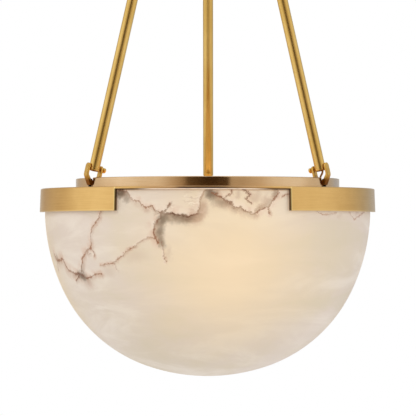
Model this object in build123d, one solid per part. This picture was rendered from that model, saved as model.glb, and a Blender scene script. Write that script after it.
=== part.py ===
from build123d import *
import math
import os

os.makedirs("parts", exist_ok=True)

# Alabaster bowl pendant, millimetres, +Z up, -Y towards the front.
# The origin is on the ceiling, at the centre of the canopy's rim.
# A cap ring holds the bowl; three tube rods carry the ring, and each rod ends in a yoke
# whose pin lets it swing; the rods hang from a hub on a short stem with a hang-straight
# knuckle under the canopy.

# ---- Directions seen from above, in degrees from +X ----
FRONT_ANGLE = -90.0
THIRD_ANGLE = 120.0
STATIONS = {
    "left": FRONT_ANGLE - THIRD_ANGLE / 2,
    "right": FRONT_ANGLE + THIRD_ANGLE / 2,
    "back": -FRONT_ANGLE,
}
LAMP_ANGLES = {
    "front": FRONT_ANGLE,
    "right": FRONT_ANGLE + THIRD_ANGLE,
    "left": -FRONT_ANGLE + THIRD_ANGLE / 2,
}
SKIRT_TURN_ANGLE = -1.5
SKIRT_ANGLES = [angle + SKIRT_TURN_ANGLE for angle in STATIONS.values()]

# ---- Ceiling bar and canopy ----
BAR_LENGTH = 104.0
BAR_WIDTH = 22.0
BAR_THICKNESS = 2.5
BOX_SLOT_SPACING = 79.4
BOX_SLOT_LENGTH = 14.4
BOX_SLOT_RADIUS = 2.4
CANOPY_RADIUS = 66.0
CANOPY_DEPTH = 30.0
CANOPY_WALL = 1.2
CANOPY_CORNER = 12.0
CANOPY_BEAD = 2.0
CANOPY_SCREW_SPACING = 50.0
CANOPY_SCREW_RADIUS = 2.0
CAP_NUT_RADIUS = 5.5
CAP_NUT_SEAT = 1.2
NIPPLE_RADIUS = 4.9
NIPPLE_BORE = 3.2
LOCKNUT_FLATS = 15.0
LOCKNUT_THICKNESS = 3.0

# ---- Hang-straight knuckle ----
NECK_RADIUS = 13.0
NECK_HEIGHT = 17.0
NECK_EDGE = 3.0
NIPPLE_ENGAGE = 8.0
SPINDLE_RADIUS = 5.0
SPINDLE_BORE = 2.4
SPINDLE_HEAD_RADIUS = 7.7
SPINDLE_HEAD_THICKNESS = 4.2
NECK_FLOOR = 4.0
FORK_BASE = 9.7
FORK_EAR = 6.2
FORK_WIDTH = 14.0
FORK_EDGE = 2.0
KNUCKLE_DROP = 8.0
KNUCKLE_PIN_RADIUS = 2.5
KNUCKLE_PIN_HEAD = 3.8
KNUCKLE_PIN_HEAD_THICKNESS = 1.2
TONGUE_THICKNESS = 8.0
TONGUE_SHOULDER_DROP = 10.0
TONGUE_SHOULDER_RADIUS = 9.5
TONGUE_SHOULDER = 6.0
TONGUE_EDGE = 1.0
TONGUE_SHANK = 14.0

# ---- Tube used for the stem and the rods ----
TUBE_RADIUS = 6.35
TUBE_WALL = 1.35
TUBE_EDGE = 0.3
STEM_LENGTH = 70.0

# ---- Hub ----
HUB_RADIUS = 44.0
HUB_PLATE = 6.0
HUB_LIP = 3.0
HUB_EDGE = 1.0
HUB_BOSS_RADIUS = 11.0
HUB_BOSS_HEIGHT = 8.0
HUB_COVER_HEIGHT = 24.0
HUB_COVER_WALL = 1.6
HUB_COVER_CORNER = 7.0
HUB_COLLAR_RADIUS = 10.5
HUB_COLLAR_HEIGHT = 7.0
HUB_COLLAR_EDGE = 1.5
HUB_STUD_INSET = 16.0

# ---- Rods and yokes ----
ROD_DROP = 522.0
PIN_FROM_SEAT = 24.4
ROD_PAST_PIN = 3.4
YOKE_WIDTH = 20.2
YOKE_STRAP = 2.8
YOKE_BREADTH = 8.5
YOKE_BASE = 3.0
YOKE_BASE_FLAT = 2.8
YOKE_BASE_BEND = 1.4
YOKE_SHOULDER = 13.8
YOKE_SHOULDER_BEND = 6.0
YOKE_INNER_SHOULDER = 15.2
YOKE_INNER_BEND = 3.6
YOKE_THROAT = 9.2
YOKE_THROAT_FLAT = 2.2
YOKE_THROAT_BEND = 1.8
YOKE_EDGE = 0.6
PIN_RADIUS = 2.0
PIN_NECK_RADIUS = 1.7
PIN_NECK = 1.3
PIN_HEAD_RADIUS = 3.1
PIN_HEAD = 3.7
STUD_RADIUS = 1.6
STUD_HEAD_RADIUS = 2.9
STUD_HEAD = 2.2
STUD_SEAT = 8.6
STUD_TAIL = 2.2
NUT_FLATS = 7.0
NUT_THICKNESS = 3.2
NUT_EASE = 0.85
WASHER_RADIUS = 4.4
WASHER_THICKNESS = 0.8

# ---- Bowl: three tangent arcs, then a straight band up to the rim ----
BOWL_RADIUS = 197.06
BOWL_DEPTH = 226.5
BOWL_BAND = 19.7
BOWL_SHOULDER_ARC = 176.4
BOWL_BOTTOM_ANGLE = 19.24
BOWL_SHOULDER_ANGLE = 64.59
BOWL_WALL = 11.0
BOWL_RIM_ROUND = 1.5
GASKET_THICKNESS = 1.2
GASKET_INSET = 1.5
GASKET_WIDTH = 8.0
BOWL_SCREW_DROP = 15.0
BOWL_SCREW_ANGLE = 18.0
BOWL_SCREW_RADIUS = 2.0
BOWL_SCREW_HEAD = 3.6
BOWL_SCREW_HEAD_THICKNESS = 2.4
BOWL_SCREW_BITE = 2.6
BOWL_WASHER_RADIUS = 6.5
BOWL_WASHER_THICKNESS = 1.5
BOWL_SPOT_DEPTH = 0.6

# ---- Cap ring, its skirts and the pads behind them ----
PAD_THICKNESS = 1.54
PAD_HEIGHT = 16.0
PAD_MARGIN_ANGLE = 4.0
SKIRT_WALL = 4.6
SKIRT_SPAN_ANGLE = 60.0
SKIRT_EDGE = 0.8
SKIRT_LOWER_EDGE = 0.4
RING_FLARE = 1.0
RING_HEIGHT = 28.0
RING_EDGE = 1.8
FLANGE_THICKNESS = 2.5

# ---- Collar ring ----
COLLAR_SETBACK = 43.6
COLLAR_HEIGHT = 12.2
COLLAR_WALL = 2.2
COLLAR_EDGE = 1.2
COLLAR_FOOT_WIDTH = 14.6
COLLAR_FOOT = 1.5
COLLAR_SCREW_INSET = 8.6
COLLAR_SCREW_ANGLE = 16.0
STUD_PAST_COLLAR = 0.8
FLANGE_PAST_FOOT = 7.0

# ---- Lamp bridge, cluster, lampholders and bulbs ----
BRIDGE_DISC = 40.0
BRIDGE_ARM = 14.0
BRIDGE_THICKNESS = 2.5
BRIDGE_VENT = 3.5
BRIDGE_VENT_INSET = 9.0
BRIDGE_VENT_ANGLE = 30.0
BRIDGE_END_PLAY = 1.9
SMALL_SCREW_RADIUS = 1.9
SMALL_SCREW_HEAD = 3.6
SMALL_SCREW_HEAD_THICKNESS = 2.2
DRIVER_SLOT = 0.9
DRIVER_SLOT_DEPTH = 1.0
CLUSTER_RADIUS = 22.0
CLUSTER_HEIGHT = 30.0
CLUSTER_EDGE = 5.0
CLUSTER_ARM_RADIUS = 9.0
CLUSTER_ARM_REACH = 32.0
CLUSTER_AXIS_DROP = 15.0
CLUSTER_BOLT_RADIUS = 3.0
CLUSTER_BOLT_FLATS = 10.0
CLUSTER_BOLT_HEAD = 4.0
LAMP_TILT_ANGLE = 30.0
HOLDER_RADIUS = 17.0
HOLDER_LENGTH = 36.0
HOLDER_LIP = 3.0
HOLDER_EDGE = 4.0
LAMP_CAP_RADIUS = 13.0
LAMP_CAP_LENGTH = 25.0
LAMP_CAP_EDGE = 3.0
BULB_RADIUS = 30.0
BULB_LENGTH = 82.0
BULB_NECK = 14.0
BULB_NECK_LENGTH = 8.0

# ---- Cords ----
CORD_RADIUS = 1.2
CORD_PLAY = 1.2
LEAD_DROP = 12.0
LEAD_SAG = 27.0
GROMMET_RADIUS = 4.5
GROMMET_BORE = 3.0
GROMMET_LIP = 1.0
STEM_CORD_RADIUS = 2.3
TERMINAL_LENGTH = 16.0
TERMINAL_WIDTH = 11.0
TERMINAL_HEIGHT = 9.0
TERMINAL_WELL = 1.8

# ---- Clearances ----
RUNNING = 0.05
HOLE_PLAY = 0.3
LOOSE = 0.5
YOKE_GAP = 0.3
NOTCH_PLAY = 1.6

# ---- Radii worked out from the bowl's ----
SKIRT_RADIUS_IN = BOWL_RADIUS + PAD_THICKNESS
RING_RADIUS = SKIRT_RADIUS_IN + SKIRT_WALL
FLANGE_RADIUS = RING_RADIUS - RING_FLARE
COLLAR_RADIUS = RING_RADIUS - COLLAR_SETBACK
COLLAR_FOOT_BORE = COLLAR_RADIUS - COLLAR_FOOT_WIDTH
COLLAR_SCREW_CIRCLE = COLLAR_RADIUS - COLLAR_SCREW_INSET
FLANGE_BORE = COLLAR_FOOT_BORE - FLANGE_PAST_FOOT
STUD_CIRCLE = COLLAR_RADIUS + STUD_PAST_COLLAR
HUB_STUD_CIRCLE = HUB_RADIUS - HUB_STUD_INSET

# ---- Heights worked out from the sizes above ----
Z_BAR = -BAR_THICKNESS
Z_CANOPY = -CANOPY_DEPTH
Z_NECK = Z_CANOPY - NECK_HEIGHT
Z_FORK = Z_NECK - YOKE_GAP
Z_KNUCKLE = Z_FORK - FORK_BASE - KNUCKLE_DROP
Z_STEM_TOP = Z_KNUCKLE - TONGUE_SHOULDER_DROP - TONGUE_SHOULDER
Z_STEM_END = Z_STEM_TOP - STEM_LENGTH
Z_HUB = Z_STEM_END
Z_HUB_TOP = Z_HUB + HUB_PLATE
Z_RING = Z_HUB - ROD_DROP
Z_FLANGE_UNDER = Z_RING - FLANGE_THICKNESS
Z_RIM = Z_FLANGE_UNDER - GASKET_THICKNESS
Z_BRIDGE = Z_RING + COLLAR_FOOT
Z_LAMP_AXES = Z_BRIDGE - CLUSTER_AXIS_DROP
Z_BOWL_SCREW = Z_RING - BOWL_SCREW_DROP

TUBE_BORE = TUBE_RADIUS - TUBE_WALL
LEAN = math.degrees(math.atan2(STUD_CIRCLE - HUB_STUD_CIRCLE, ROD_DROP))
SEAT_TO_SEAT = math.hypot(STUD_CIRCLE - HUB_STUD_CIRCLE, ROD_DROP)
ROD_START = PIN_FROM_SEAT - ROD_PAST_PIN
ROD_LENGTH = SEAT_TO_SEAT - 2 * ROD_START
SCREW_HOLE = BOWL_SCREW_RADIUS + HOLE_PLAY
CORD_OFFSET = PIN_RADIUS + HOLE_PLAY + CORD_RADIUS


def save(name, shape):
    """Write one sub-part under its node's name."""
    export_step(shape, f"parts/{name}.step")


def group(shapes):
    """Several separate solids that share one node."""
    return Compound(children=[solid for shape in shapes for solid in shape.solids()])


def disc(radius, bottom, top):
    """Upright cylinder between two heights."""
    return Pos(0, 0, bottom) * extrude(Circle(radius), top - bottom)


def tube(outer, inner, bottom, top):
    """Upright tube between two heights."""
    return Pos(0, 0, bottom) * extrude(Circle(outer) - Circle(inner), top - bottom)


def at_angle(angle, shape):
    """Turn a shape about the vertical axis."""
    return Rot(0, 0, angle) * shape


def lower_seat(angle, shape):
    """Place a shape, drawn about a stud at the origin, on the cap ring."""
    return Pos(0, 0, Z_RING) * Rot(0, 0, angle) * Pos(STUD_CIRCLE, 0, 0) * shape


def upper_seat(angle, shape):
    """Place the same shape the other way up, under the hub."""
    return Pos(0, 0, Z_HUB) * Rot(0, 0, angle) * Pos(HUB_STUD_CIRCLE, 0, 0) * Rot(0, 180, 0) * shape


def along_rod(shape):
    """Lean a shape drawn upright about the stud onto the rod's line."""
    return Rot(0, -LEAN, 0) * shape


def hexagon(flats, thickness):
    """Hexagon nut blank on z = 0, its corners eased above and below."""
    corner = flats / math.sqrt(3)
    blank = disc(corner, 0, thickness)
    rims = blank.edges().filter_by(GeomType.CIRCLE)
    blank = chamfer(rims, NUT_EASE * (corner - flats / 2))
    return blank & extrude(RegularPolygon(flats / 2, 6, major_radius=False), thickness)


# ---- Ceiling bar, nipple and canopy ----
def crossbar():
    """Pressed steel bar with two slots for the ceiling box and tapped holes for the rest."""
    outline = SlotOverall(BAR_LENGTH, BAR_WIDTH)
    for side in (-1, 1):
        outline -= Pos(side * BOX_SLOT_SPACING / 2, 0) * SlotOverall(BOX_SLOT_LENGTH, 2 * BOX_SLOT_RADIUS)
        outline -= Pos(side * CANOPY_SCREW_SPACING / 2, 0) * Circle(CANOPY_SCREW_RADIUS)
    outline -= Circle(NIPPLE_RADIUS)
    return Pos(0, 0, Z_BAR) * extrude(outline, BAR_THICKNESS)


def canopy_wall(radius, height, corner):
    """Solid pan shape with a rounded lower corner, open side at z = 0."""
    pan = disc(radius, -height, 0)
    return fillet(pan.edges().group_by(Axis.Z)[0], corner)


def canopy():
    """Spun brass pan with a rolled bead at the rim."""
    shell = canopy_wall(CANOPY_RADIUS, CANOPY_DEPTH, CANOPY_CORNER)
    bead = tube(CANOPY_RADIUS + CANOPY_BEAD, CANOPY_RADIUS - CANOPY_WALL, -CANOPY_BEAD, 0)
    shell += fillet(bead.edges().group_by(SortBy.LENGTH)[-1], CANOPY_BEAD * 0.45)
    sizes = (CANOPY_RADIUS, CANOPY_DEPTH, CANOPY_CORNER)
    shell -= canopy_wall(*[size - CANOPY_WALL for size in sizes])
    shell -= disc(NIPPLE_RADIUS + HOLE_PLAY, -CANOPY_DEPTH, 0)
    for side in (-1, 1):
        hole = disc(CANOPY_SCREW_RADIUS + HOLE_PLAY, -CANOPY_DEPTH, 0)
        shell -= Pos(side * CANOPY_SCREW_SPACING / 2, 0, 0) * hole
    return shell


def canopy_screw():
    """Threaded stud from the bar down through the canopy."""
    return disc(CANOPY_SCREW_RADIUS, Z_CANOPY - CAP_NUT_RADIUS, 0)


def cap_nut():
    """Ball-shaped nut with a flat seat, closed below."""
    ball = Pos(0, 0, Z_CANOPY - CAP_NUT_RADIUS * 0.8) * Sphere(CAP_NUT_RADIUS)
    seat = disc(CAP_NUT_RADIUS, Z_CANOPY - CAP_NUT_SEAT, Z_CANOPY)
    nut = ball & disc(CAP_NUT_RADIUS + 1, Z_CANOPY - 3 * CAP_NUT_RADIUS, Z_CANOPY)
    return nut + seat - disc(CANOPY_SCREW_RADIUS, Z_CANOPY - CAP_NUT_RADIUS, 0)


def nipple():
    """Hollow threaded nipple from the bar into the neck."""
    return tube(NIPPLE_RADIUS, NIPPLE_BORE, Z_CANOPY - NIPPLE_ENGAGE, 0)


def locknut(top):
    """Hexagon locknut on the nipple."""
    nut = Pos(0, 0, top - LOCKNUT_THICKNESS) * hexagon(LOCKNUT_FLATS, LOCKNUT_THICKNESS)
    return nut - disc(NIPPLE_RADIUS, top - LOCKNUT_THICKNESS, top)


# ---- Hang-straight knuckle: turns in the neck and tilts on one pin ----
def swivel_neck():
    """Turned neck under the canopy that keeps the spindle's head."""
    neck = disc(NECK_RADIUS, Z_NECK, Z_CANOPY)
    neck = fillet(neck.edges().group_by(Axis.Z)[0], NECK_EDGE)
    neck -= disc(NIPPLE_RADIUS, Z_CANOPY - NIPPLE_ENGAGE, Z_CANOPY)
    neck -= disc(SPINDLE_HEAD_RADIUS + HOLE_PLAY, Z_NECK + NECK_FLOOR, Z_CANOPY - NIPPLE_ENGAGE)
    neck -= disc(SPINDLE_RADIUS + RUNNING, Z_NECK, Z_NECK + NECK_FLOOR)
    return neck


def swivel_fork():
    """Hollow spindle with a retained head, and a fork for the knuckle pin."""
    head_bottom = Z_NECK + NECK_FLOOR + RUNNING
    fork = disc(NECK_RADIUS, Z_FORK - FORK_BASE, Z_FORK)
    fork = fillet(fork.edges().group_by(Axis.Z)[-1], FORK_EDGE)
    fork += disc(SPINDLE_RADIUS, Z_FORK, head_bottom)
    fork += disc(SPINDLE_HEAD_RADIUS, head_bottom, head_bottom + SPINDLE_HEAD_THICKNESS)
    fork -= disc(SPINDLE_BORE, Z_FORK - FORK_BASE, head_bottom + SPINDLE_HEAD_THICKNESS)
    ear_profile = Pos(0, KNUCKLE_DROP / 2) * Rectangle(FORK_WIDTH, KNUCKLE_DROP) + Circle(FORK_WIDTH / 2)
    ear_profile -= Circle(KNUCKLE_PIN_RADIUS)
    ear = extrude(Plane.YZ * ear_profile, FORK_EAR)
    gap = TONGUE_THICKNESS / 2 + YOKE_GAP
    fork += Pos(gap, 0, Z_KNUCKLE) * ear
    fork += Pos(-gap - FORK_EAR, 0, Z_KNUCKLE) * ear
    return fork


def knuckle_pin():
    """Pin riveted over outside both ears of the fork."""
    half = TONGUE_THICKNESS / 2 + YOKE_GAP + FORK_EAR
    pin = disc(KNUCKLE_PIN_RADIUS, -half, half)
    for side in (-1, 1):
        head = extrude(Circle(KNUCKLE_PIN_HEAD), KNUCKLE_PIN_HEAD_THICKNESS)
        head = fillet(head.edges().group_by(Axis.Z)[-1], KNUCKLE_PIN_HEAD_THICKNESS * 0.6)
        pin += Rot(0, 0 if side > 0 else 180, 0) * Pos(0, 0, half) * head
    return Pos(0, 0, Z_KNUCKLE) * Rot(0, 90, 0) * pin


def stem_tongue():
    """Flat tongue on a turned shoulder whose shank is screwed into the stem."""
    shoulder_top = Z_KNUCKLE - TONGUE_SHOULDER_DROP
    profile = Pos(0, -TONGUE_SHOULDER_DROP / 2) * Rectangle(FORK_WIDTH, TONGUE_SHOULDER_DROP)
    profile += Circle(FORK_WIDTH / 2)
    profile -= Circle(KNUCKLE_PIN_RADIUS + RUNNING)
    tongue = Pos(-TONGUE_THICKNESS / 2, 0, Z_KNUCKLE) * extrude(Plane.YZ * profile, TONGUE_THICKNESS)
    shoulder = disc(TONGUE_SHOULDER_RADIUS, Z_STEM_TOP, shoulder_top)
    tongue += fillet(shoulder.edges().group_by(Axis.Z)[-1], TONGUE_EDGE)
    tongue += disc(TUBE_BORE, Z_STEM_TOP - TONGUE_SHANK, Z_STEM_TOP)
    tongue -= disc(STEM_CORD_RADIUS, Z_STEM_TOP - TONGUE_SHANK, Z_STEM_TOP + TONGUE_SHOULDER / 2)
    return tongue


def stem():
    """Short tube from the knuckle to the hub."""
    return tube(TUBE_RADIUS, TUBE_BORE, Z_STEM_END, Z_STEM_TOP)


# ---- Hub ----
def hub_plate():
    """Thick plate that the stem screws into and the three yokes hang from."""
    plate = disc(HUB_RADIUS, Z_HUB, Z_HUB + HUB_LIP)
    plate = fillet(plate.edges().group_by(Axis.Z)[0], HUB_EDGE)
    plate += disc(HUB_RADIUS - HUB_COVER_WALL - HOLE_PLAY, Z_HUB + HUB_LIP, Z_HUB_TOP)
    plate += disc(HUB_BOSS_RADIUS, Z_HUB_TOP, Z_HUB_TOP + HUB_BOSS_HEIGHT)
    plate -= disc(TUBE_RADIUS, Z_HUB, Z_HUB_TOP + HUB_BOSS_HEIGHT)
    for angle in STATIONS.values():
        plate -= upper_seat(angle, disc(STUD_RADIUS + RUNNING, -HUB_PLATE, 0))
    plate -= upper_seat(STATIONS["right"], cord_hole(CORD_RADIUS + CORD_PLAY, -HUB_PLATE, 0))
    return plate


def hub_cover():
    """Spun cup over the plate, slipped down the stem on its collar."""
    bottom = Z_HUB + HUB_LIP
    top = bottom + HUB_COVER_HEIGHT
    cup = disc(HUB_RADIUS, bottom, top)
    cup = fillet(cup.edges().group_by(Axis.Z)[-1], HUB_COVER_CORNER)
    collar = disc(HUB_COLLAR_RADIUS, top, top + HUB_COLLAR_HEIGHT)
    cup += fillet(collar.edges().group_by(Axis.Z)[-1], HUB_COLLAR_EDGE)
    hollow = disc(HUB_RADIUS - HUB_COVER_WALL, bottom, top - HUB_COVER_WALL)
    cup -= fillet(hollow.edges().group_by(Axis.Z)[-1], HUB_COVER_CORNER - HUB_COVER_WALL)
    return cup - disc(TUBE_RADIUS + RUNNING, bottom, top + HUB_COLLAR_HEIGHT)


def hub_terminal():
    """Small terminal block on the plate, behind the cord's hole."""
    block = extrude(Rectangle(TERMINAL_LENGTH, TERMINAL_WIDTH), TERMINAL_HEIGHT)
    for side in (-1, 1):
        well = disc(TERMINAL_WELL, TERMINAL_HEIGHT / 2, TERMINAL_HEIGHT)
        block -= Pos(side * TERMINAL_LENGTH / 4, 0, 0) * well
    return Pos(0, 0, Z_HUB_TOP) * Rot(0, 0, LAMP_ANGLES["right"]) * Pos(HUB_STUD_CIRCLE, 0, 0) * block


# ---- One yoke with its pin, stud, nut and washer, drawn about the stud ----
def yoke_outline():
    """Side view of the bent strap: two straight ears that meet in a blunt vee."""
    half = YOKE_WIDTH / 2
    inner = half - YOKE_STRAP
    ear_top = PIN_FROM_SEAT + YOKE_BREADTH
    outer_line = FilletPolyline(
        (-half, ear_top),
        (-half, YOKE_SHOULDER),
        (-YOKE_BASE_FLAT, YOKE_BASE),
        (YOKE_BASE_FLAT, YOKE_BASE),
        (half, YOKE_SHOULDER),
        (half, ear_top),
        radius=[YOKE_SHOULDER_BEND, YOKE_BASE_BEND, YOKE_BASE_BEND, YOKE_SHOULDER_BEND],
    )
    inner_line = FilletPolyline(
        (inner, ear_top),
        (inner, YOKE_INNER_SHOULDER),
        (YOKE_THROAT_FLAT, YOKE_THROAT),
        (-YOKE_THROAT_FLAT, YOKE_THROAT),
        (-inner, YOKE_INNER_SHOULDER),
        (-inner, ear_top),
        radius=[YOKE_INNER_BEND, YOKE_THROAT_BEND, YOKE_THROAT_BEND, YOKE_INNER_BEND],
    )
    return make_face([
        *outer_line.edges(),
        Line((half, ear_top), (inner, ear_top)),
        *inner_line.edges(),
        Line((-inner, ear_top), (-half, ear_top)),
    ])


def yoke():
    """Strap yoke leaning with its rod, its ears rounded about the pin."""
    strap = extrude(Plane.XZ * yoke_outline(), YOKE_BREADTH / 2, both=True)
    side = Pos(0, PIN_FROM_SEAT / 2) * Rectangle(YOKE_BREADTH, PIN_FROM_SEAT)
    side += Pos(0, PIN_FROM_SEAT) * Circle(YOKE_BREADTH / 2)
    strap &= extrude(Plane.YZ * side, YOKE_WIDTH, both=True)
    flank = YOKE_BREADTH / 2 - RUNNING
    rims = [edge for edge in strap.edges()
            if abs(edge.center().Y) > flank or edge.center().Z > PIN_FROM_SEAT]
    strap = fillet(rims, YOKE_EDGE)
    strap -= Pos(0, 0, PIN_FROM_SEAT) * Rot(0, 90, 0) * Cylinder(PIN_RADIUS, 2 * YOKE_WIDTH)
    strap = along_rod(strap)
    strap -= disc(STUD_RADIUS, 0, STUD_SEAT)
    strap -= disc(STUD_HEAD_RADIUS + HOLE_PLAY, STUD_SEAT, PIN_FROM_SEAT / 2)
    return strap


def yoke_pin():
    """Pin pressed through both ears, with a necked round head on the inner side."""
    half = YOKE_WIDTH / 2
    pin = disc(PIN_RADIUS, -half, half)
    pin += disc(PIN_NECK_RADIUS, half, half + PIN_NECK)
    head = disc(PIN_HEAD_RADIUS, half + PIN_NECK, half + PIN_NECK + PIN_HEAD)
    head = fillet(head.edges().group_by(Axis.Z)[-1], PIN_HEAD_RADIUS * 0.5)
    head = fillet(head.edges().group_by(Axis.Z)[0], PIN_HEAD_RADIUS * 0.25)
    return along_rod(Pos(0, 0, PIN_FROM_SEAT) * Rot(0, -90, 0) * (pin + head))


def yoke_stud(grip):
    """Blackened screw, head down in the yoke's throat, through a plate of thickness grip."""
    tail = grip + WASHER_THICKNESS + NUT_THICKNESS + STUD_TAIL
    stud = disc(STUD_RADIUS, -tail, STUD_SEAT)
    head = disc(STUD_HEAD_RADIUS, STUD_SEAT, STUD_SEAT + STUD_HEAD)
    return stud + fillet(head.edges().group_by(Axis.Z)[-1], STUD_HEAD * 0.4)


def stud_washer(grip):
    """Plain washer under the plate."""
    return tube(WASHER_RADIUS, STUD_RADIUS, -grip - WASHER_THICKNESS, -grip)


def stud_nut(grip):
    """Hexagon nut under the washer."""
    top = -grip - WASHER_THICKNESS
    nut = Pos(0, 0, top - NUT_THICKNESS) * hexagon(NUT_FLATS, NUT_THICKNESS)
    return nut - disc(STUD_RADIUS, top - NUT_THICKNESS, top)


def rod(angle):
    """Plain brass tube with a cross hole for the pin near each open end."""
    body = tube(TUBE_RADIUS, TUBE_BORE, ROD_START, ROD_START + ROD_LENGTH)
    body = chamfer(body.edges().filter_by(GeomType.CIRCLE), TUBE_EDGE)
    for height in (PIN_FROM_SEAT, SEAT_TO_SEAT - PIN_FROM_SEAT):
        body -= Pos(0, 0, height) * Rot(0, 90, 0) * Cylinder(PIN_RADIUS + RUNNING, 4 * TUBE_RADIUS)
    return lower_seat(angle, along_rod(body))


# ---- Cords ----
# Route of the cord below the right rod, about its stud: out of the tube beside the pin,
# through the yoke, round its flank and down a hole in the plate.
CORD_TURN = (-6.4, 4.6, 12.4)
CORD_DROP = (-9.4, 11.2, 7.4)
# Where the lead under the ring turns, as shares of its way from the cluster to the grommet.
LEAD_TURNS = (0.86, 0.55, 0.32)
# Share of the shorter run beside a corner that its bend takes up.
BEND_SHARE = 0.45


def cord_hole(radius, bottom, top):
    """Upright hole where the cord passes the ring or the hub."""
    return Pos(CORD_DROP[0], CORD_DROP[1], 0) * disc(radius, bottom, top)


def on_rod(height):
    """Point inside the leaning tube, beside the pin, at a distance from the seat."""
    lean = math.radians(LEAN)
    return (-height * math.sin(lean), CORD_OFFSET, height * math.cos(lean))


def flex_along(route):
    """Round flex on a route of straight runs, each corner eased by as wide a bend as fits."""
    radii = []
    for before, corner, after in zip(route, route[1:], route[2:]):
        run_in = Vector(*corner) - Vector(*before)
        run_out = Vector(*after) - Vector(*corner)
        turn = math.radians(run_in.get_angle(run_out))
        radii.append(BEND_SHARE * min(run_in.length, run_out.length) / math.tan(turn / 2))
    print("bend radii:", [round(radius, 1) for radius in radii])
    path = FilletPolyline(*route, radius=radii)
    section = Plane(path @ 0, z_dir=path % 0) * Circle(CORD_RADIUS)
    flex = sweep(section, path=path)
    print("volume over section times length:", flex.volume / (section.area * path.length))
    return flex


def supply_cord():
    """One flex through the right rod, with the same bend at its top and bottom."""
    lower_end = [(CORD_DROP[0], CORD_DROP[1], -FLANGE_THICKNESS), CORD_DROP, CORD_TURN, on_rod(ROD_START)]
    upper_end = [(-x, y, -z) for x, y, z in lower_end]
    upper_end[0] = (-CORD_DROP[0], CORD_DROP[1], HUB_PLATE)
    shift = (HUB_STUD_CIRCLE - STUD_CIRCLE, 0, ROD_DROP)
    upper_end = [tuple(a + b for a, b in zip(point, shift)) for point in upper_end]
    return lower_seat(STATIONS["right"], flex_along(lower_end + upper_end[::-1]))


def ring_lead():
    """Lead from the grommet in the cap ring to the lamp cluster, hanging a little slack."""
    start = lower_seat(STATIONS["right"], Pos(*CORD_DROP)).position
    bearing = math.degrees(math.atan2(start.Y, start.X))
    reach = math.hypot(start.X, start.Y)
    depth = Z_LAMP_AXES - Z_RING
    route = [
        (reach, 0, -FLANGE_THICKNESS - HOLE_PLAY),
        (reach, 0, -LEAD_DROP),
        (reach * LEAD_TURNS[0], 0, -LEAD_SAG),
        (reach * LEAD_TURNS[1], 0, -LEAD_SAG),
        (reach * LEAD_TURNS[2], 0, depth),
        (CLUSTER_RADIUS, 0, depth),
    ]
    return Pos(0, 0, Z_RING) * Rot(0, 0, bearing) * flex_along(route)


def stem_cord():
    """Round flex inside the stem, from the hub to the knuckle."""
    return disc(STEM_CORD_RADIUS - RUNNING, Z_HUB, Z_STEM_TOP + TONGUE_SHOULDER / 2 - LOOSE)


def cord_grommet():
    """Rubber grommet that lines the cord's hole in the collar's foot and the flange."""
    grommet = tube(GROMMET_RADIUS, GROMMET_BORE, -FLANGE_THICKNESS, COLLAR_FOOT)
    for bottom in (COLLAR_FOOT, -FLANGE_THICKNESS - GROMMET_LIP):
        grommet += tube(GROMMET_RADIUS + GROMMET_LIP, GROMMET_BORE, bottom, bottom + GROMMET_LIP)
    return lower_seat(STATIONS["right"], Pos(CORD_DROP[0], CORD_DROP[1], 0) * grommet)


# ---- Cap ring and collar ----
def ring_profile():
    """Section of the flange alone, with its rounded outer edge."""
    flange = disc(FLANGE_RADIUS, Z_FLANGE_UNDER, Z_RING)
    flange = fillet(flange.edges().group_by(Axis.Z)[-1], RING_EDGE)
    return flange - disc(FLANGE_BORE, Z_FLANGE_UNDER, Z_RING)


def skirt(angle):
    """One curved tab turned down from the flange, flaring slightly to its eased lower edge."""
    low = Z_RING - RING_HEIGHT
    section = make_face(Polyline(
        (SKIRT_RADIUS_IN, Z_FLANGE_UNDER),
        (SKIRT_RADIUS_IN, low),
        (RING_RADIUS, low),
        (FLANGE_RADIUS, Z_FLANGE_UNDER),
        close=True,
    ))
    tab = revolve(Plane.XZ * section, Axis.Z, SKIRT_SPAN_ANGLE)
    lower = [edge for edge in tab.edges().group_by(Axis.Z)[0] if edge.length > 2 * SKIRT_WALL]
    tab = chamfer(lower, SKIRT_LOWER_EDGE)
    upright = [edge for edge in tab.edges() if edge.bounding_box().size.Z > RING_HEIGHT / 2]
    outer = sorted(upright, key=lambda edge: math.hypot(edge.center().X, edge.center().Y))[-2:]
    tab = chamfer(outer, SKIRT_EDGE)
    return at_angle(angle - SKIRT_SPAN_ANGLE / 2, tab)


def bowl_screw_angles():
    """Two screws in each skirt, either side of its middle."""
    return [angle + side * BOWL_SCREW_ANGLE for angle in SKIRT_ANGLES for side in (-1, 1)]


def cap_ring():
    """Turned brass ring: flat flange with three skirts and their blind tapped holes."""
    ring = ring_profile()
    for angle in SKIRT_ANGLES:
        ring += skirt(angle)
    for angle in STATIONS.values():
        ring -= lower_seat(angle, disc(STUD_RADIUS + LOOSE, -FLANGE_THICKNESS, 0))
    ring -= lower_seat(STATIONS["right"], cord_hole(GROMMET_RADIUS, -FLANGE_THICKNESS, 0))
    for angle in collar_screw_angles():
        hole = disc(SMALL_SCREW_RADIUS, Z_FLANGE_UNDER, Z_RING)
        ring -= at_angle(angle, Pos(COLLAR_SCREW_CIRCLE, 0, 0) * hole)
    for angle in bowl_screw_angles():
        tapped = radial_rod(BOWL_SCREW_RADIUS, BOWL_RADIUS, SKIRT_RADIUS_IN + BOWL_SCREW_BITE)
        ring -= at_angle(angle, tapped)
    return ring


def radial_rod(radius, start, end):
    """Level cylinder pointing out from the axis at the bowl screws' height."""
    return Pos(start, 0, Z_BOWL_SCREW) * Rot(0, 90, 0) * extrude(Circle(radius), end - start)


def collar_screw_angles():
    """Screws through the bridge's arms, and one beside each rod."""
    return list(LAMP_ANGLES.values()) + [angle - COLLAR_SCREW_ANGLE for angle in STATIONS.values()]


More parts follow.
